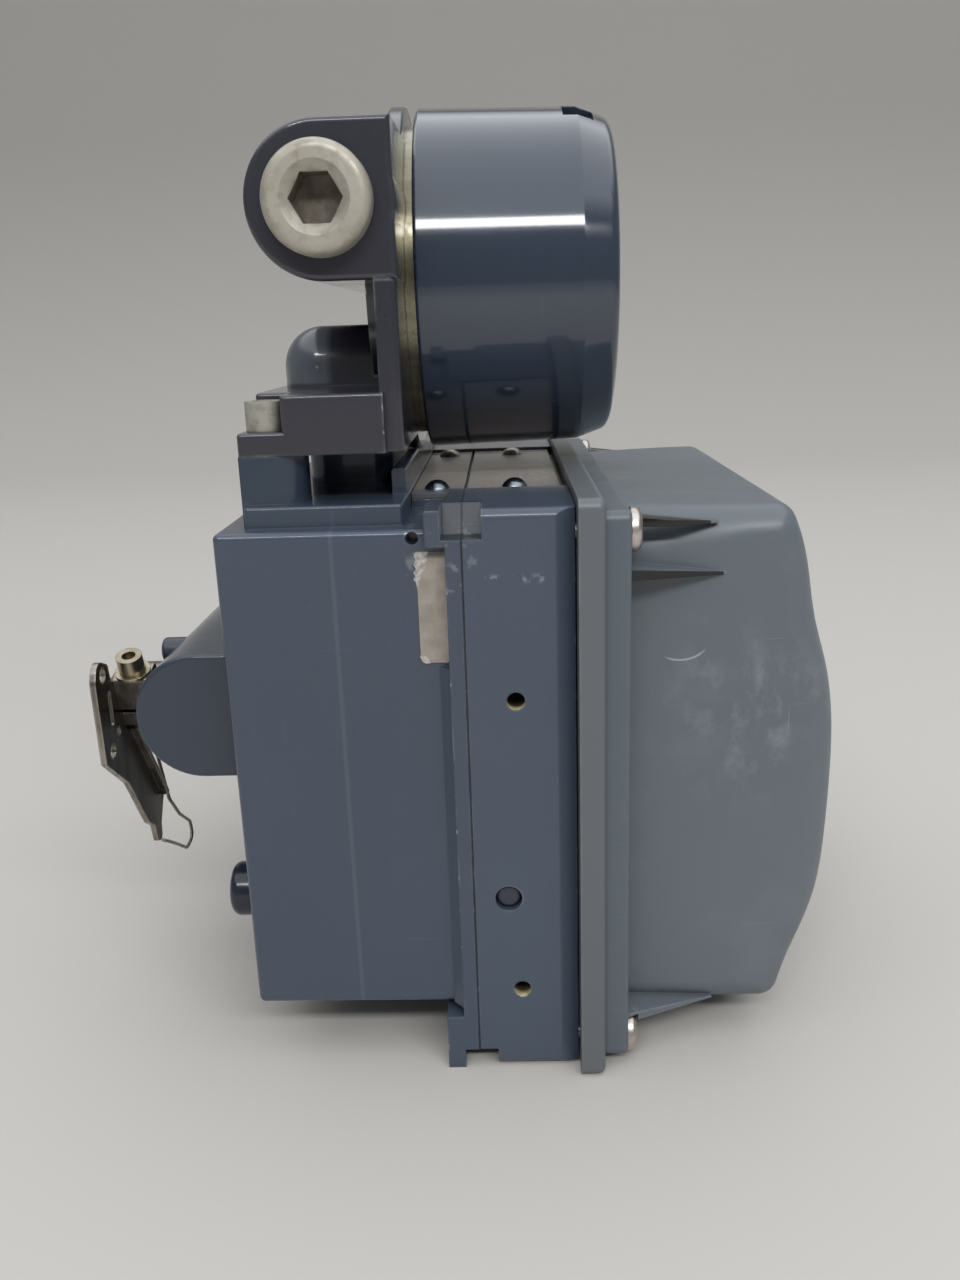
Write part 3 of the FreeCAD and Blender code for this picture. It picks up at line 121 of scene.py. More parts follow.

# Wear: colours under the enamel, the paler edge colour partly a painted highlight, and how far wear reaches
# from edges and painted shade into corners
BARE_ALLOY = (0.42, 0.45, 0.48)
EDGE_RUB_AND_HIGHLIGHT = (0.2, 0.22, 0.24)
PALE_SCRAPE = (0.26, 0.28, 0.29)
BRIGHT_STEEL = (0.6, 0.58, 0.55)
EDGE_REACH = 0.6 * MM
HOLLOW_SHADE_REACH = 4 * MM

# Studio: a paper floor that curves up into a wall, and one long lamp in front
PAPER_WIDTH = 6.0
PAPER_BACK = 1.6
PAPER_HEIGHT = 1.15
PAPER_BEND = 0.5
PAPER_TURNS = 12
LAMP_PLACE = (0.35, -1.0, 0.85)
LAMP_TARGET = (0.35, 0, 0.05)
LAMP_LENGTH = 1.5
LAMP_DEPTH = 0.13
CEILING_FROM = (0.55, 0.72)
AIR_COLOUR = (0.94, 0.97, 1.0)


def toned(colour, times):
    """A colour made lighter or darker."""
    return tuple(min(1, c * times) for c in colour)


class Shader:
    """A material under construction: short calls for the nodes that the finishes share."""

    def __init__(self, name):
        self.material = bpy.data.materials.new(name)
        self.material.use_nodes = True
        self.tree = self.material.node_tree
        self.body = self.tree.nodes["Principled BSDF"]
        self.place = self.tree.nodes.new("ShaderNodeTexCoord").outputs["Object"]
        self.geometry = self.tree.nodes.new("ShaderNodeNewGeometry")

    def node(self, kind, values=(), **settings):
        made = self.tree.nodes.new("ShaderNode" + kind)
        for key, value in settings.items():
            setattr(made, key, value)
        for key, value in dict(values).items():
            self.put(made.inputs[key], value)
        return made

    def put(self, socket, value):
        if isinstance(value, bpy.types.NodeSocket):
            self.tree.links.new(value, socket)
        elif isinstance(value, (tuple, list)) and len(value) == 3 and socket.type == "RGBA":
            socket.default_value = (*value, 1)
        else:
            socket.default_value = value

    def set(self, **values):
        for key, value in values.items():
            self.put(self.body.inputs[key.replace("_", " ")], value)

    def stretched(self, stretch):
        """Object coordinates in metres, squeezed along each axis."""
        return self.node("Mapping", {"Vector": self.place, "Scale": stretch}).outputs[0]

    def noise(self, scale, detail=3.0, stretch=(1, 1, 1), rough=0.55):
        return self.node("TexNoise", {"Vector": self.stretched(stretch), "Scale": scale,
                                      "Detail": detail, "Roughness": rough}).outputs[0]

    def cells(self, scale):
        return self.node("TexVoronoi", {"Vector": self.place, "Scale": scale}).outputs["Distance"]

    def ramp(self, value, low, high, a=0.0, b=1.0):
        return self.node("MapRange", {"Value": value, "From Min": low, "From Max": high,
                                      "To Min": a, "To Max": b}).outputs[0]

    def cloud(self, low, high, *noise, **settings):
        """Patches of noise, 0 below one level and 1 above another."""
        return self.ramp(self.noise(*noise, **settings), low, high)

    def math(self, operation, a, b=0.0):
        made = self.node("Math", operation=operation)
        self.put(made.inputs[0], a)
        self.put(made.inputs[1], b)
        return made.outputs[0]

    def both(self, mask, *others):
        """Masks multiplied together."""
        for other in others:
            mask = self.math("MULTIPLY", mask, other)
        return mask

    def either(self, a, b):
        """The stronger of two masks."""
        return self.math("MAXIMUM", a, b)

    def above(self, value, limit):
        return self.math("GREATER_THAN", value, limit)

    def below(self, value, limit):
        return self.math("LESS_THAN", value, limit)

    def between(self, value, low, high, soft):
        """1 where a value lies between two limits, falling off over a soft margin."""
        return self.both(self.ramp(value, low - soft, low), self.ramp(value, high + soft, high))

    def axis(self, letter):
        split = self.node("SeparateXYZ", {"Vector": self.place})
        return split.outputs["XYZ".index(letter)]

    def across(self, letter):
        """Distance from the part's middle plane along one axis."""
        return self.math("ABSOLUTE", self.axis(letter))

    def facing(self, letter):
        """How far a face is turned along one axis, to either side."""
        split = self.node("SeparateXYZ", {"Vector": self.geometry.outputs["True Normal"]})
        return self.math("ABSOLUTE", split.outputs["XYZ".index(letter)])

    def away_from(self, centre):
        far = self.node("VectorMath", operation="DISTANCE")
        self.put(far.inputs[0], self.place)
        far.inputs[1].default_value = centre
        return far.outputs["Value"]

    def near_axis(self, a, b, centre, radius):
        """1 within a radius of an axis through the plane of two object coordinates."""
        da = self.math("POWER", self.math("SUBTRACT", self.axis(a), centre[0]), 2.0)
        db = self.math("POWER", self.math("SUBTRACT", self.axis(b), centre[1]), 2.0)
        return self.below(self.math("ADD", da, db), radius * radius)

    def edges(self, reach):
        """1 along outward edges, found from inside the solid, and 0 on its faces."""
        inner = self.node("AmbientOcclusion", {"Distance": reach}, samples=6, inside=True).outputs["AO"]
        return self.ramp(inner, 0.94, 0.6)

    def hollows(self, distance):
        """1 deep in the corners of the shape, where painted shade goes, and 0 on open faces."""
        open_air = self.node("AmbientOcclusion", {"Distance": distance}, samples=4).outputs["AO"]
        return self.ramp(open_air, 0.75, 0.25)

    def blend(self, factor, a, b):
        made = self.node("Mix", data_type="RGBA")
        self.put(made.inputs[0], factor)
        self.put(made.inputs[6], a)
        self.put(made.inputs[7], b)
        return made.outputs[2]

    def repaint(self, factor, colour, metallic=None):
        """Lays another colour over what the shader already has."""
        base = self.body.inputs["Base Color"].links[0].from_socket
        self.set(Base_Color=self.blend(factor, base, colour))
        if metallic is not None:
            links = self.body.inputs["Metallic"].links
            old = links[0].from_socket if links else self.body.inputs["Metallic"].default_value
            mixed = self.node("Mix")
            self.put(mixed.inputs[0], factor)
            self.put(mixed.inputs[2], old)
            self.put(mixed.inputs[3], metallic)
            self.set(Metallic=mixed.outputs[0])

    def bump(self, height, strength, distance, soft=0.0):
        made = self.node("Bump", {"Height": height, "Strength": strength, "Distance": distance})
        if soft:
            self.put(made.inputs["Normal"], self.node("Bevel", {"Radius": soft}, samples=4).outputs[0])
        self.set(Normal=made.outputs[0])


def paint(name, colour, drift, roughness, coat, wear, wear_colour=BARE_ALLOY, grain=0.25, scuffs=0.3):
    """Enamel on a casting: slow shade changes, orange peel, painted shade in the hollows, rubbed edges partly
    standing in for a painted highlight, chips and hairline scuffs.
    """
    s = Shader(name)
    shade = s.blend(s.cloud(0.35, 0.65, 9.0), colour, toned(colour, drift))
    speckle = s.ramp(s.noise(900.0, 2.0), 0.3, 0.75, 0.0, 0.2)
    shade = s.blend(speckle, shade, toned(colour, 1.2))
    hairs = s.either(s.cloud(0.68, 0.74, 520.0, 1.0, (1, 1, 0.03)),
                     s.cloud(0.7, 0.76, 480.0, 1.0, (0.04, 0.5, 1)))
    patches = s.cloud(0.56, 0.7, 28.0)
    shade = s.blend(s.both(hairs, patches, scuffs), shade, toned(colour, 3.0))
    # Painted shade: darker deep in the hollows, made uneven by noise.
    hollow_shade = s.both(s.hollows(HOLLOW_SHADE_REACH), s.ramp(s.noise(40.0, 2.0), 0.3, 0.7, 0.45, 0.75))
    shade = s.blend(hollow_shade, shade, toned(colour, 0.4))
    # Edges rubbed paler in patches, partly wear and partly a painted highlight.
    edge = s.edges(EDGE_REACH)
    shade = s.blend(s.both(edge, s.cloud(0.44, 0.62, 90.0, 5.0), 0.5 * wear), shade, EDGE_RUB_AND_HIGHLIGHT)
    chips = s.both(s.above(edge, 0.6), s.cloud(0.6, 0.66, 330.0))
    specks = s.both(s.ramp(s.cells(170.0), 0.07, 0.04), s.cloud(0.6, 0.68, 22.0, 2.0))
    worn = s.both(s.either(chips, specks), wear)
    s.set(Base_Color=s.blend(worn, shade, wear_colour), Metallic=s.both(worn, 0.6))
    s.set(Roughness=s.ramp(s.noise(35.0), 0.3, 0.7, roughness * 0.85, roughness * 1.2))
    s.set(Coat_Weight=coat, Coat_Roughness=0.07, Specular_IOR_Level=0.35)
    s.bump(s.noise(1500.0, 2.0), grain, 0.12 * MM, soft=0.6 * MM)
    return s


def metal(name, colour, dark, roughness, scale=600.0, stretch=(1, 1, 1), plated=1.0, rim=0.0):
    """Bare or plated metal with stains, a fine grain, painted shade in its hollows, and edges rubbed bright
    where rim is set.
    """
    s = Shader(name)
    shade = s.blend(s.both(s.cloud(0.38, 0.66, scale * 0.25, 5.0), 0.5), colour, dark)
    shade = s.blend(s.both(s.cloud(0.5, 0.72, scale, 4.0, stretch), 0.4), shade, toned(dark, 0.55))
    # Painted shade: darker in the hollows.
    shade = s.blend(s.both(s.hollows(2 * MM), 0.7), shade, toned(dark, 0.3))
    if rim:
        rubbed = s.both(s.edges(0.5 * MM), s.ramp(s.noise(300.0), 0.3, 0.6, 0.3))
        shade = s.blend(s.both(rubbed, rim), shade, BRIGHT_STEEL)
    s.set(Base_Color=shade, Metallic=plated)
    s.set(Roughness=s.ramp(s.noise(scale * 0.5, 4.0, stretch), 0.3, 0.7, roughness * 0.75, roughness * 1.35))
    s.bump(s.noise(scale * 2, 3.0, stretch), 0.3, 0.1 * MM, soft=0.3 * MM)
    return s


def plastic(name, colour, roughness=0.45):
    s = Shader(name)
    s.set(Base_Color=s.blend(s.cloud(0.35, 0.65, 70.0, 4.0), colour, toned(colour, 0.8)))
    s.set(Roughness=s.ramp(s.noise(200.0), 0.3, 0.7, roughness * 0.85, roughness * 1.15))
    s.bump(s.noise(1800.0, 2.0), 0.2, 0.1 * MM, soft=0.3 * MM)
    return s


def scrapes(s, places):
    """Pale scrapes inside patches of the near side."""
    for (x_low, x_high), (z_low, z_high), weight in places:
        patch = s.both(s.between(s.axis("X"), x_low, x_high, 0.8 * MM),
                       s.between(s.axis("Z"), z_low, z_high, 0.8 * MM),
                       s.below(s.axis("Y"), 0.0))
        s.repaint(s.both(patch, s.cloud(0.55, 0.64, 330.0, 4.0), weight), PALE_SCRAPE)


def seam_shade(s):
    """The dark gap between the castings, and painted shade inside the pry notches across it."""
    gap = s.between(s.axis("X"), SEAM_X - SEAM_HALF, SEAM_X + SEAM_HALF, 0.1 * MM)
    s.repaint(s.both(gap, 0.85), (0.012, 0.014, 0.018))
    # Painted shade and painted dark reflection inside the pry notches.
    deep = s.between(s.across("Y"), *NOTCH_DEPTH, 0.1 * MM)
    high = s.between(s.axis("Z"), *NOTCH_HEIGHT, 0.1 * MM)
    wide = s.between(s.axis("X"), SEAM_X - NOTCH_HALF, SEAM_X + NOTCH_HALF, 0.1 * MM)
    s.repaint(s.both(deep, high, wide, 0.9), (0.008, 0.013, 0.02))


def housing_finish(colour):
    """Rear casting: faint parting line of its mould, painted shade on its boss, and painted shade with a
    painted dark reflection on its pedestal and posts.
    """
    s = paint("housing_enamel", colour, 0.87, roughness=0.34, coat=0.5, wear=1.0)
    line = s.between(s.axis("X"), PARTING_X - PARTING_HALF, PARTING_X + PARTING_HALF, 0.5 * MM)
    s.repaint(s.both(line, 0.22), (0.14, 0.165, 0.2))
    scrapes(s, HOUSING_SCRAPES)
    # Painted shade: the boss on the rear side painted darker.
    boss = s.ramp(s.axis("X"), 0.0, -0.6 * MM)
    s.repaint(s.both(boss, 0.9), (0.026, 0.036, 0.055))
    # Painted shade and a painted dark reflection of the terminal box above, on the posts and the pedestal.
    posts = s.ramp(s.axis("Z"), POST_Z, POST_Z + 1.3 * MM)
    s.repaint(s.both(posts, 0.85), (0.018, 0.03, 0.05))
    pedestal = s.both(s.ramp(s.axis("Z"), PEDESTAL_Z - 0.3 * MM, PEDESTAL_Z + 0.3 * MM),
                      s.below(s.axis("X"), PEDESTAL_FRONT_X))
    s.repaint(s.both(pedestal, 0.55), (0.024, 0.04, 0.064))
    seam_shade(s)
    return s


def base_finish(colour):
    """Middle casting: brass-coloured thread in its two gauge holes, with a painted highlight on the lower
    wall at the mouth and painted shade deeper in, and chalky marks below the rim.
    """
    s = paint("base_enamel", colour, 0.88, roughness=0.34, coat=0.5, wear=1.0)
    holes = next(m for m in frame["record"]["mounts"] if m["name"] == "gauge_bracket_holes")
    x, side, middle = holes["pos_m"]
    hole_r = holes["dims"]["hole_r_mm"] * MM
    half = holes["dims"]["spacing_y_mm"] / 2 * MM
    # Painted light in the gauge holes: brass where the lower wall near the mouth is lit, painted shade in
    # dark brown deeper in and on the upper wall.
    inside = s.between(s.axis("Y"), side + 0.03 * MM, side + 20 * MM, 0.01 * MM)
    centres = (middle - half, middle + half)
    rings = s.either(*(s.near_axis("X", "Z", (x, z), hole_r + 0.5 * MM) for z in centres))
    lower = s.either(*(s.between(s.axis("Z"), z - hole_r, z - 0.4 * MM, 0.5 * MM) for z in centres))
    mouth = s.ramp(s.axis("Y"), side + 2.6 * MM, side + 1.2 * MM)
    brass = s.blend(s.cloud(0.35, 0.65, 700.0), (0.85, 0.76, 0.5), (0.6, 0.5, 0.27))
    s.repaint(s.both(rings, inside), s.blend(s.both(mouth, lower), (0.1, 0.08, 0.045), brass), metallic=0.3)
    seam_shade(s)
    scrapes(s, BASE_SCRAPES)
    return s


def terminal_finish(colour):
    """Dark enamel, with a painted highlight on the dome and the machined collar left in yellow chromate."""
    s = paint("terminal_enamel", colour, 0.79, roughness=0.28, coat=0.8, wear=1.0)
    collar = s.both(s.above(s.axis("X"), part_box("terminal_chamber")[1].x - COLLAR_LENGTH),
                    s.near_axis("Y", "Z", (0.0, CAP_AXIS_Z), COLLAR_R))
    chromate = s.blend(s.cloud(0.35, 0.7, 90.0, 5.0, (1, 3, 3)), (0.34, 0.31, 0.2), (0.17, 0.15, 0.09))
    s.repaint(collar, chromate, metallic=0.7)
    # Painted highlight: the dome painted paler grey-blue for the ceiling's reflection.
    dome = s.both(s.between(s.axis("Z"), *DOME_HEIGHT, 1 * MM),
                  s.ramp(s.axis("X"), DOME_FRONT_X + 2 * MM, DOME_FRONT_X))
    s.repaint(s.both(dome, 0.9), (0.11, 0.125, 0.15))
    return s


def cap_finish(colour):
    """Glossy enamel with a few small dents and rubs."""
    return paint("cap_enamel", colour, 0.87, roughness=0.14, coat=1.0, wear=0.6, wear_colour=(0.3, 0.34, 0.4),
                 grain=0.06)


def plate_finish(name, colour, wear_colour, fade, weight, blue):
    """Plate in brown-grey, partly worn enamel and partly a painted reflection of the pale wall, with its blue
    kept along the near side, where the painted reflection fades.
    """
    s = paint(name, colour, 0.76, roughness=0.3, coat=0.2, wear=0.5, wear_colour=wear_colour, scuffs=0.04)
    # Blue along the near side, where the painted reflection of the wall fades.
    s.repaint(s.both(s.ramp(s.axis("Y"), *fade), weight), blue)
    return s


def cover_finish(colour):
    """Moulded plastic: satin, rubbed paler in patches, specks, a curved scratch, painted shade in its hollows
    and on the faces of its ribs.
    """
    s = Shader("cover_moulding")
    shade = s.blend(s.cloud(0.35, 0.65, 12.0, 4.0), colour, toned(colour, 0.907))
    shade = s.blend(s.both(s.cloud(0.55, 0.75, 26.0, 6.0, (1, 1, 1.6)), 0.3), shade, (0.2, 0.222, 0.245))
    hairs = s.either(s.cloud(0.72, 0.76, 1100.0, 1.0, (0.04, 0.5, 1)),
                     s.cloud(0.72, 0.76, 1100.0, 1.0, (1, 1, 0.04)))
    hairs = s.both(hairs, s.cloud(0.54, 0.66, 40.0), 0.3)
    shade = s.blend(hairs, shade, (0.3, 0.32, 0.34))
    scuffed = s.both(s.ramp(s.away_from(SCUFF_CENTRE), *SCUFF_REACH),
                     s.cloud(0.5, 0.72, 150.0, 7.0, (1, 1, 0.7), rough=0.7), 0.5)
    shade = s.blend(scuffed, shade, (0.29, 0.31, 0.33))
    specks = s.both(s.ramp(s.cells(75.0), 0.045, 0.03), s.cloud(0.56, 0.6, 33.0, 1.0))
    shade = s.blend(specks, shade, (0.02, 0.02, 0.022))
    s.set(Base_Color=shade, Roughness=s.ramp(s.noise(26.0, 5.0), 0.35, 0.65, 0.33, 0.45))
    # Painted shade in the hollows.
    s.repaint(s.both(s.hollows(3 * MM), 0.5), (0.045, 0.05, 0.056))
    step_x = COVER_LOW.x + FLANGE_DEPTH
    rim_x = COVER_LOW.x + RIM_DEPTH
    s.repaint(s.both(s.ramp(s.axis("X"), step_x + 0.1 * MM, step_x), 0.6), (0.08, 0.1, 0.122))
    s.repaint(s.both(s.ramp(s.axis("X"), rim_x + 0.1 * MM, rim_x), 0.8), (0.118, 0.128, 0.138))
    edge = s.both(s.edges(EDGE_REACH), s.ramp(s.noise(160.0, 4.0), 0.35, 0.6, 0.15), 0.4)
    s.repaint(edge, (0.27, 0.29, 0.3))
    # Painted shade: the ribs' edge faces, and all faces of the top rib, painted near black.
    shaded_face = s.either(s.below(s.facing("Z"), 0.5), s.above(s.axis("Z"), COVER_HIGH.z - TOP_RIB_DROP))
    ribs = s.both(s.above(s.across("Y"), RIB_ROOT_Y), shaded_face, s.above(s.axis("X"), step_x + 0.2 * MM),
                  s.above(s.axis("Z"), 0.0))
    s.repaint(ribs, (0.012, 0.0115, 0.012))
    ring = s.away_from(SCRATCH_CENTRE)
    arc = s.both(s.between(ring, SCRATCH_R - SCRATCH_HALF, SCRATCH_R + SCRATCH_HALF, 0.2 * MM),
                 s.between(s.axis("X"), *SCRATCH_X, 1.6 * MM),
                 s.below(s.axis("Z"), SCRATCH_CENTRE[2]), 0.7)
    s.repaint(arc, (0.42, 0.42, 0.41))
    s.bump(s.noise(2600.0, 2.0), 0.15, 0.1 * MM, soft=0.5 * MM)
    return s


def plate_screw_finish():
    """Dome heads: the near pair dark and blue, the far pair dull and pale."""
    s = metal("plate_screw_zinc", (0.27, 0.31, 0.36), (0.15, 0.17, 0.2), 0.22)
    pale = s.blend(s.cloud(0.35, 0.65, 400.0, 4.0), (0.5, 0.45, 0.38), (0.3, 0.27, 0.23))
    s.repaint(s.above(s.axis("Y"), 0.0), pale, metallic=0.4)
    return s


def plug_finish():
    """Dull cast plating, darker brown down in the hexagon: dirt there and painted shade in the recess."""
    s = metal("pale_plating", (0.43, 0.4, 0.34), (0.28, 0.25, 0.2), 0.45, 420.0, plated=0.35)
    low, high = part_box("conduit_plug")
    centre = ((low.x + high.x) / 2, (low.z + high.z) / 2)
    # Darker brown in the hexagon: dirt and painted shade of the recess.
    deep = s.ramp(s.axis("Y"), low.y + 1.2 * MM, low.y + 2.4 * MM)
    dirt = s.blend(s.cloud(0.35, 0.65, 300.0, 4.0), (0.1, 0.08, 0.062), (0.2, 0.175, 0.14))
    s.repaint(s.both(deep, s.near_axis("X", "Z", centre, HEXAGON_R), 0.9), dirt)
    return s


def arm_finish():
    """Phosphated steel: black on the plate; its folded edge and the hub's sides, the faces not turned along
    X, paler brown, partly rubbed steel and partly a painted highlight.
    """
    s = metal("arm_phosphate", (0.06, 0.055, 0.05), (0.03, 0.027, 0.025), 0.3, 300.0, (1, 1, 0.25), rim=0.8)
    # Faces not turned along X painted paler brown: partly rubbed steel, partly a painted highlight.
    worn = s.ramp(s.noise(220.0, 4.0, (1, 1, 0.3)), 0.35, 0.62, 0.25, 0.9)
    s.repaint(s.both(s.below(s.facing("X"), 0.6), worn), (0.42, 0.37, 0.32))
    return s


def label_finish(colour):
    """Bare foil label, dulled and rubbed, with a dark line of dirt along its top edge."""
    s = Shader("bare_label")
    shade = s.blend(s.cloud(0.4, 0.65, 260.0, 5.0), colour, toned(colour, 0.77))
    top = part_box("blank_label")[1].z
    dirt = s.both(s.ramp(s.axis("Z"), top - 1.6 * MM, top - 0.6 * MM), 0.75)
    s.set(Base_Color=s.blend(dirt, shade, (0.1, 0.08, 0.06)), Roughness=0.42, Metallic=0.25)
    s.bump(s.noise(700.0, 4.0), 0.4, 0.2 * MM)
    return s


def torn_paper_finish(colour):
    """White fibres where the foil was pulled off."""
    s = Shader("torn_paper")
    s.set(Base_Color=s.blend(s.cloud(0.4, 0.62, 900.0, 6.0), colour, toned(colour, 0.575)), Roughness=0.9)
    s.bump(s.noise(1300.0, 6.0), 0.9, 0.4 * MM)
    return s


def rubber_finish():
    s = Shader("seal_rubber")
    s.set(Base_Color=s.blend(s.noise(300.0), (0.02, 0.02, 0.02), (0.035, 0.035, 0.034)), Roughness=0.7)
    s.bump(s.noise(2400.0), 0.2, 0.1 * MM)
    return s


def paper_finish(colour):
    """Matt paper of the floor and wall."""
    s = Shader("studio_paper")
    s.set(Base_Color=s.blend(s.noise(3.0, 2.0), colour, toned(colour, 0.985)), Roughness=0.9)
    return s


def assign(shader, *names):
    for name in names:
        data = NODES[name].data
        data.materials.clear()
        data.materials.append(shader.material)


def colour(name, description, default):
    return FloatVectorProperty(
        name=name, description=description, default=default, subtype="COLOR", min=0, max=1)


class FinishSettings(bpy.types.PropertyGroup):
    """Colours of the enamels, the moulding and the label."""

    housing: colour("Housing", "Slate enamel of the rear casting", (0.05, 0.068, 0.1))
    base: colour("Module base", "Slate enamel of the middle casting", (0.057, 0.076, 0.111))
    terminal: colour("Terminal box", "Dark enamel of the terminal box", (0.027, 0.027, 0.038))
    cap: colour("Cap", "Glossy enamel of the terminal cap", (0.026, 0.038, 0.061))
    cover: colour("Front cover", "Grey moulded plastic", (0.122, 0.142, 0.163))
    # The plate colours are partly a painted reflection of the pale wall on worn enamel
    rear_plate: colour("Rear plate", "Worn plate next to the terminal box", (0.27, 0.23, 0.205))
    front_plate: colour("Front plate", "Worn plate next to the cover", (0.31, 0.265, 0.235))
    foil: colour("Label", "Bare foil of the label", (0.37, 0.33, 0.285))
    paper: colour("Torn paper", "Fibres where the foil was pulled off", (0.52, 0.49, 0.45))


class StudioSettings(bpy.types.PropertyGroup):
    """Camera, lamp, sky and floor."""

    camera_place: FloatVectorProperty(
        name="Camera place", description="Camera in the frame of the part", default=(0.0649, -0.3009, 0.1018),
        subtype="TRANSLATION", unit="LENGTH")
    lens: FloatProperty(
        name="Lens", description="Focal length on a 36 mm high frame", default=30.0, unit="CAMERA")
    pitch: FloatProperty(
        name="Pitch", description="Tilt below the horizon", default=math.radians(16.4), unit="ROTATION")
    yaw: FloatProperty(
        name="Yaw", description="Turn of the view", default=math.radians(1.16), unit="ROTATION")
    roll: FloatProperty(
        name="Roll", description="Roll of the frame", default=math.radians(-1.51), unit="ROTATION")
    lamp_power: FloatProperty(
        name="Lamp power", description="Long lamp that draws the bright line on the cap", default=10.5,
        unit="POWER")
    low_light: FloatProperty(
        name="Low light", description="Brightness of the air near the horizon", default=0.2, min=0)
    ceiling: FloatProperty(
        name="Ceiling", description="Brightness of the air overhead", default=1.5, min=0)
    floor: colour("Floor", "Pale paper of floor and wall", (0.5, 0.48, 0.45))


def add_mesh(name, build, body, material):
    """A finished piece from a bmesh that build fills, riding on a body."""
    mesh = bpy.data.meshes.new(name)
    bm = bmesh.new()
    build(bm)
    bmesh.ops.remove_doubles(bm, verts=bm.verts, dist=0.001 * MM)
    bmesh.ops.recalc_face_normals(bm, faces=bm.faces)
    bm.to_mesh(mesh)
    bm.free()
    mesh.materials.append(material)
    made = bpy.data.objects.new(name, mesh)
    bpy.context.scene.collection.objects.link(made)
    if body:
        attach(made, body)
    return made


def pull(bm, grown, vec):
    """Moves the new vertices of an extrusion along a vector."""
    verts = [part for part in grown["geom"] if isinstance(part, bmesh.types.BMVert)]
    bmesh.ops.translate(bm, vec=vec, verts=verts)


class SCENE_OT_stage(bpy.types.Operator):
    """Pale floor, camera and lamp"""

    bl_idname = "positioner.stage"
    bl_label = "Stage"

    def execute(self, context):
        settings = context.scene.positioner_studio
        floor = add_mesh("studio_floor", self.paper, None, paper_finish(tuple(settings.floor)).material)
        for face in floor.data.polygons:
            face.use_smooth = True
        context.scene.camera = self.eye(settings)
        context.scene.world = self.air(settings)
        context.scene.view_settings.view_transform = "Standard"
        context.scene.collection.objects.link(self.lamp(settings))
        return {"FINISHED"}

    def paper(self, bm):
        """Floor that curves up into the wall behind."""
        left = -PAPER_WIDTH / 2
        line = [(left, left, FLOOR_Z), (left, PAPER_BACK - PAPER_BEND, FLOOR_Z)]
        for i in range(1, PAPER_TURNS + 1):
            a = math.pi / 2 * i / PAPER_TURNS
            line.append((left, PAPER_BACK - PAPER_BEND * (1 - math.sin(a)),
                         FLOOR_Z + PAPER_BEND * (1 - math.cos(a))))
        line.append((left, PAPER_BACK, FLOOR_Z + PAPER_HEIGHT))
        verts = [bm.verts.new(p) for p in line]
        edges = [bm.edges.new(pair) for pair in zip(verts, verts[1:])]
        pull(bm, bmesh.ops.extrude_edge_only(bm, edges=edges), (PAPER_WIDTH, 0, 0))

    def eye(self, settings):
        camera = bpy.data.cameras.new("camera")
        camera.lens = settings.lens
        camera.sensor_width = 36
        camera.clip_start = 0.01
        made = bpy.data.objects.new("camera", camera)
        bpy.context.scene.collection.objects.link(made)
        level = Matrix(((1, 0, 0), (0, 0, -1), (0, 1, 0)))
        turn = (Matrix.Rotation(settings.yaw, 3, "Y") @ Matrix.Rotation(settings.pitch, 3, "X")
                @ Matrix.Rotation(settings.roll, 3, "Z") @ level)
        axes = Matrix((turn[0], -turn[1], -turn[2])).transposed()
        made.matrix_world = Matrix.Translation(Vector(settings.camera_place)) @ axes.to_4x4()
        return made

    def lamp(self, settings):
        strip = bpy.data.lights.new("lamp_strip", "AREA")
        strip.shape = "RECTANGLE"
        strip.size = LAMP_LENGTH
        strip.size_y = LAMP_DEPTH
        strip.energy = settings.lamp_power
        made = bpy.data.objects.new("lamp_strip", strip)
        made.location = LAMP_PLACE
        made.rotation_euler = (Vector(LAMP_TARGET) - Vector(LAMP_PLACE)).to_track_quat("-Z", "Y").to_euler()
        return made

    def air(self, settings):
        """Soft light from above, as from a white ceiling, over dimmer walls."""
        world = bpy.data.worlds.new("studio_air")
        world.use_nodes = True
        nodes, links = world.node_tree.nodes, world.node_tree.links
        height = nodes.new("ShaderNodeSeparateXYZ")
        links.new(nodes.new("ShaderNodeTexCoord").outputs["Generated"], height.inputs[0])
        level = nodes.new("ShaderNodeMapRange")
        level.inputs["From Min"].default_value, level.inputs["From Max"].default_value = CEILING_FROM
        level.inputs["To Min"].default_value = settings.low_light
        level.inputs["To Max"].default_value = settings.ceiling
        links.new(height.outputs[2], level.inputs["Value"])
        links.new(level.outputs[0], nodes["Background"].inputs[1])
        nodes["Background"].inputs[0].default_value = (*AIR_COLOUR, 1)
        return world


class SCENE_OT_castings(bpy.types.Operator):
    """Enamel on the castings, plates and cap"""

    bl_idname = "positioner.castings"
    bl_label = "Castings"

    def execute(self, context):
        colours = context.scene.positioner_finish
        assign(housing_finish(tuple(colours.housing)), "housing")
        assign(base_finish(tuple(colours.base)), "module_base")
        assign(terminal_finish(tuple(colours.terminal)), "terminal_box", "conduit_barrel", "terminal_chamber")
        assign(cap_finish(tuple(colours.cap)), "terminal_cap")
        assign(plate_finish("rear_plate_enamel", tuple(colours.rear_plate), (0.36, 0.33, 0.3),
                            REAR_PLATE_FADE_Y, 0.8, (0.075, 0.085, 0.1)), "rear_plate_top")
        assign(plate_finish("front_plate_enamel", tuple(colours.front_plate), (0.38, 0.35, 0.32),
                            FRONT_PLATE_FADE_Y, 0.7, (0.13, 0.137, 0.145)), "front_plate_top")
        return {"FINISHED"}


class SCENE_OT_cover(bpy.types.Operator):
    """Moulded front cover"""

    bl_idname = "positioner.cover"
    bl_label = "Front cover"

    def execute(self, context):
        assign(cover_finish(tuple(context.scene.positioner_finish.cover)), "front_cover")
        return {"FINISHED"}


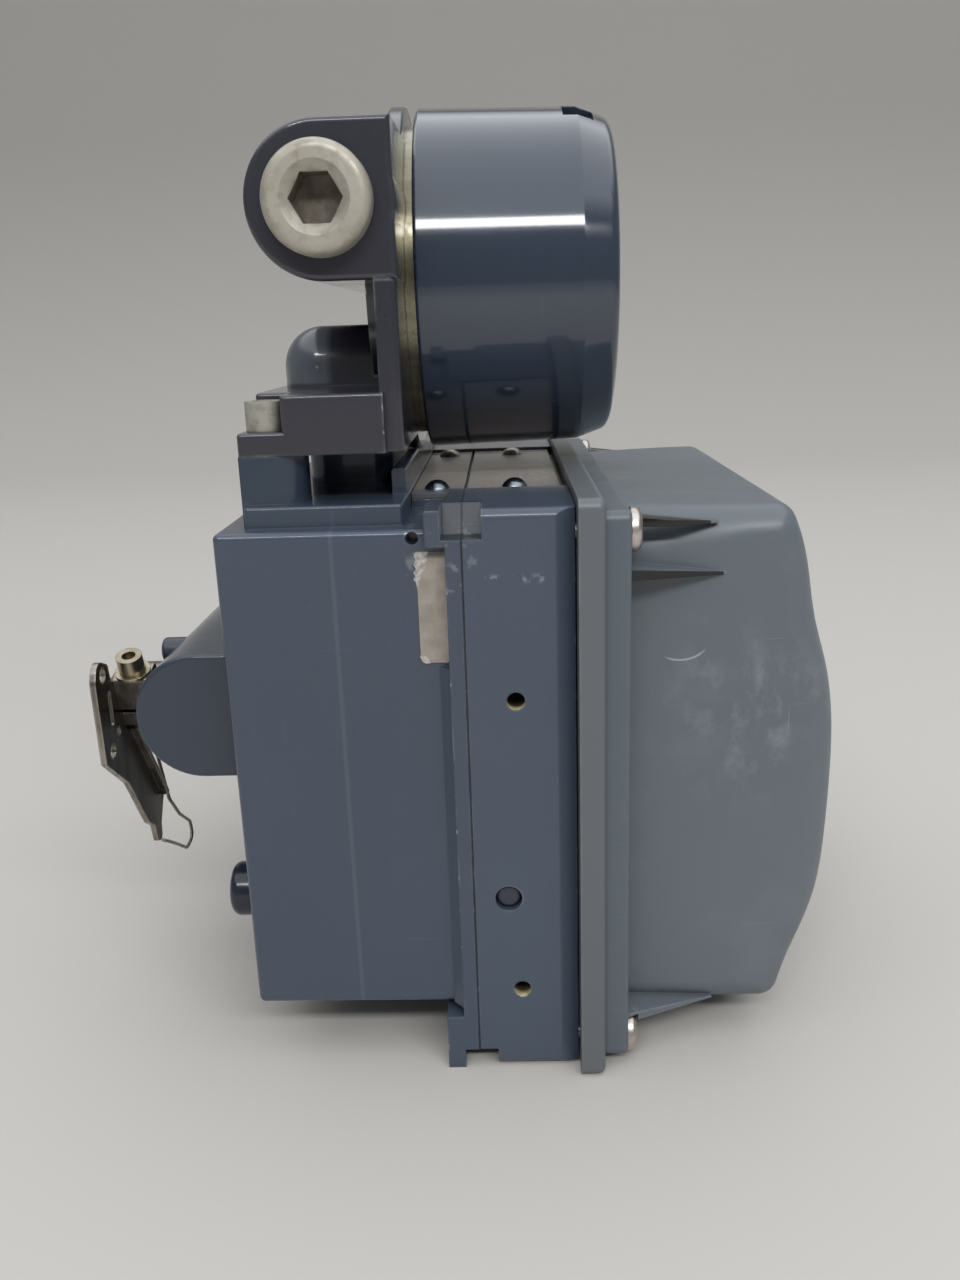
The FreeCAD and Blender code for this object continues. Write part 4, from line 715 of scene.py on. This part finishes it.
class SCENE_OT_fittings(bpy.types.Operator):
    """Finishes of plugs, screws and seals"""

    bl_idname = "positioner.fittings"
    bl_label = "Fittings"

    def execute(self, context):
        assign(plug_finish(), "conduit_plug")
        assign(metal("foot_screw_plating", (0.42, 0.41, 0.36), (0.27, 0.25, 0.2), 0.45, 500.0, plated=0.4),
               "terminal_box_screws")
        assign(metal("screw_nickel", (0.62, 0.56, 0.52), (0.4, 0.36, 0.33), 0.3), "cover_screws")
        assign(plate_screw_finish(), "plate_screws")
        assign(metal("zinc_plate", (0.5, 0.5, 0.5), (0.34, 0.34, 0.33), 0.35),
               "base_screws", "sensor_screws", "converter_screws", "relay_screws", "electronics_screws",
               "terminal_screws", "screw_rings")
        assign(rubber_finish(), "base_seal", "cover_seal", "cap_seal", "terminal_box_gasket")
        assign(plastic("blank_plastic", (0.035, 0.042, 0.058), 0.3), "port_blank")
        assign(plastic("vent_plastic", (0.016, 0.021, 0.034), 0.18), "rear_vent")
        return {"FINISHED"}


class SCENE_OT_label(bpy.types.Operator):
    """Bare foil label with its corner torn off, and the paper left under it"""

    bl_idname = "positioner.label"
    bl_label = "Torn label"

    def execute(self, context):
        colours = context.scene.positioner_finish
        foil = label_finish(tuple(colours.foil)).material
        fibres = torn_paper_finish(tuple(colours.paper)).material
        pieces = (self.sheet("label_foil", LABEL_EDGE, 0.0, foil),
                  self.sheet("label_torn_corner", TORN_EDGE, 0.15 * MM, fibres),
                  self.sheet("label_peeled_corner", PEEL_EDGE, -0.1 * MM, fibres))
        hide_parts("blank_label")
        return {"FINISHED"}

    def sheet(self, name, outline, sunk, material):
        """Flat outline in fractions of the label, reaching back into the wall."""
        low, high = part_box("blank_label")

        def build(bm):
            spots = [bm.verts.new((low.x + u * (high.x - low.x), low.y + sunk, low.z + v * (high.z - low.z)))
                     for u, v in outline]
            face = bm.faces.new(spots)
            pull(bm, bmesh.ops.extrude_face_region(bm, geom=[face]), (0, LABEL_THICKNESS, 0))
            bmesh.ops.triangulate(bm, faces=bm.faces)

        return add_mesh(name, build, "root", material)


class SCENE_OT_linkage(bpy.types.Operator):
    """Feedback arm, its clamp, spring and shaft"""

    bl_idname = "positioner.linkage"
    bl_label = "Feedback arm"

    def execute(self, context):
        assign(arm_finish(), "feedback_arm", "arm_hub")
        assign(metal("clamp_zinc", (0.42, 0.37, 0.27), (0.2, 0.17, 0.12), 0.3, 400.0),
               "clamp_screw", "clamp_washer")
        assign(metal("spring_wire", (0.3, 0.26, 0.22), (0.14, 0.11, 0.09), 0.3), "bias_spring")
        assign(metal("ground_steel", (0.55, 0.55, 0.54), (0.4, 0.4, 0.4), 0.25, 500.0, (0.2, 1, 1)),
               "travel_shaft")
        assign(metal("bush_bronze", (0.5, 0.36, 0.18), (0.3, 0.2, 0.1), 0.4), "shaft_bushes")
        return {"FINISHED"}


class SCENE_OT_modules(bpy.types.Operator):
    """Modules under the cover and in the terminal box"""

    bl_idname = "positioner.modules"
    bl_label = "Inner modules"

    def execute(self, context):
        assign(plastic("module_black", (0.03, 0.03, 0.032)),
               "electronics_module", "travel_sensor", "sensor_rotor", "terminal_strip")
        assign(metal("module_cast", (0.5, 0.51, 0.52), (0.38, 0.38, 0.39), 0.45, 500.0),
               "current_converter", "pneumatic_relay")
        assign(plastic("disc_nylon", (0.48, 0.47, 0.43), 0.4), "relay_disc")
        return {"FINISHED"}


class SCENE_PT_positioner(bpy.types.Panel):
    """Buttons for each group of pieces"""

    bl_label = "Valve Positioner"
    bl_idname = "SCENE_PT_positioner"
    bl_space_type = "VIEW_3D"
    bl_region_type = "UI"
    bl_category = "Positioner"

    def draw(self, context):
        for step in STEPS:
            self.layout.operator(step.bl_idname)


STEPS = (SCENE_OT_stage, SCENE_OT_castings, SCENE_OT_cover, SCENE_OT_fittings, SCENE_OT_label,
         SCENE_OT_linkage, SCENE_OT_modules)
CLASSES = (FinishSettings, StudioSettings, *STEPS, SCENE_PT_positioner)


def register():
    for cls in CLASSES:
        bpy.utils.register_class(cls)
    bpy.types.Scene.positioner_finish = PointerProperty(type=FinishSettings)
    bpy.types.Scene.positioner_studio = PointerProperty(type=StudioSettings)


def unregister():
    del bpy.types.Scene.positioner_studio
    del bpy.types.Scene.positioner_finish
    for cls in reversed(CLASSES):
        bpy.utils.unregister_class(cls)


def main():
    register()
    for step in STEPS:
        group, name = step.bl_idname.split(".")
        getattr(getattr(bpy.ops, group), name)()


if __name__ == "__main__":
    main()
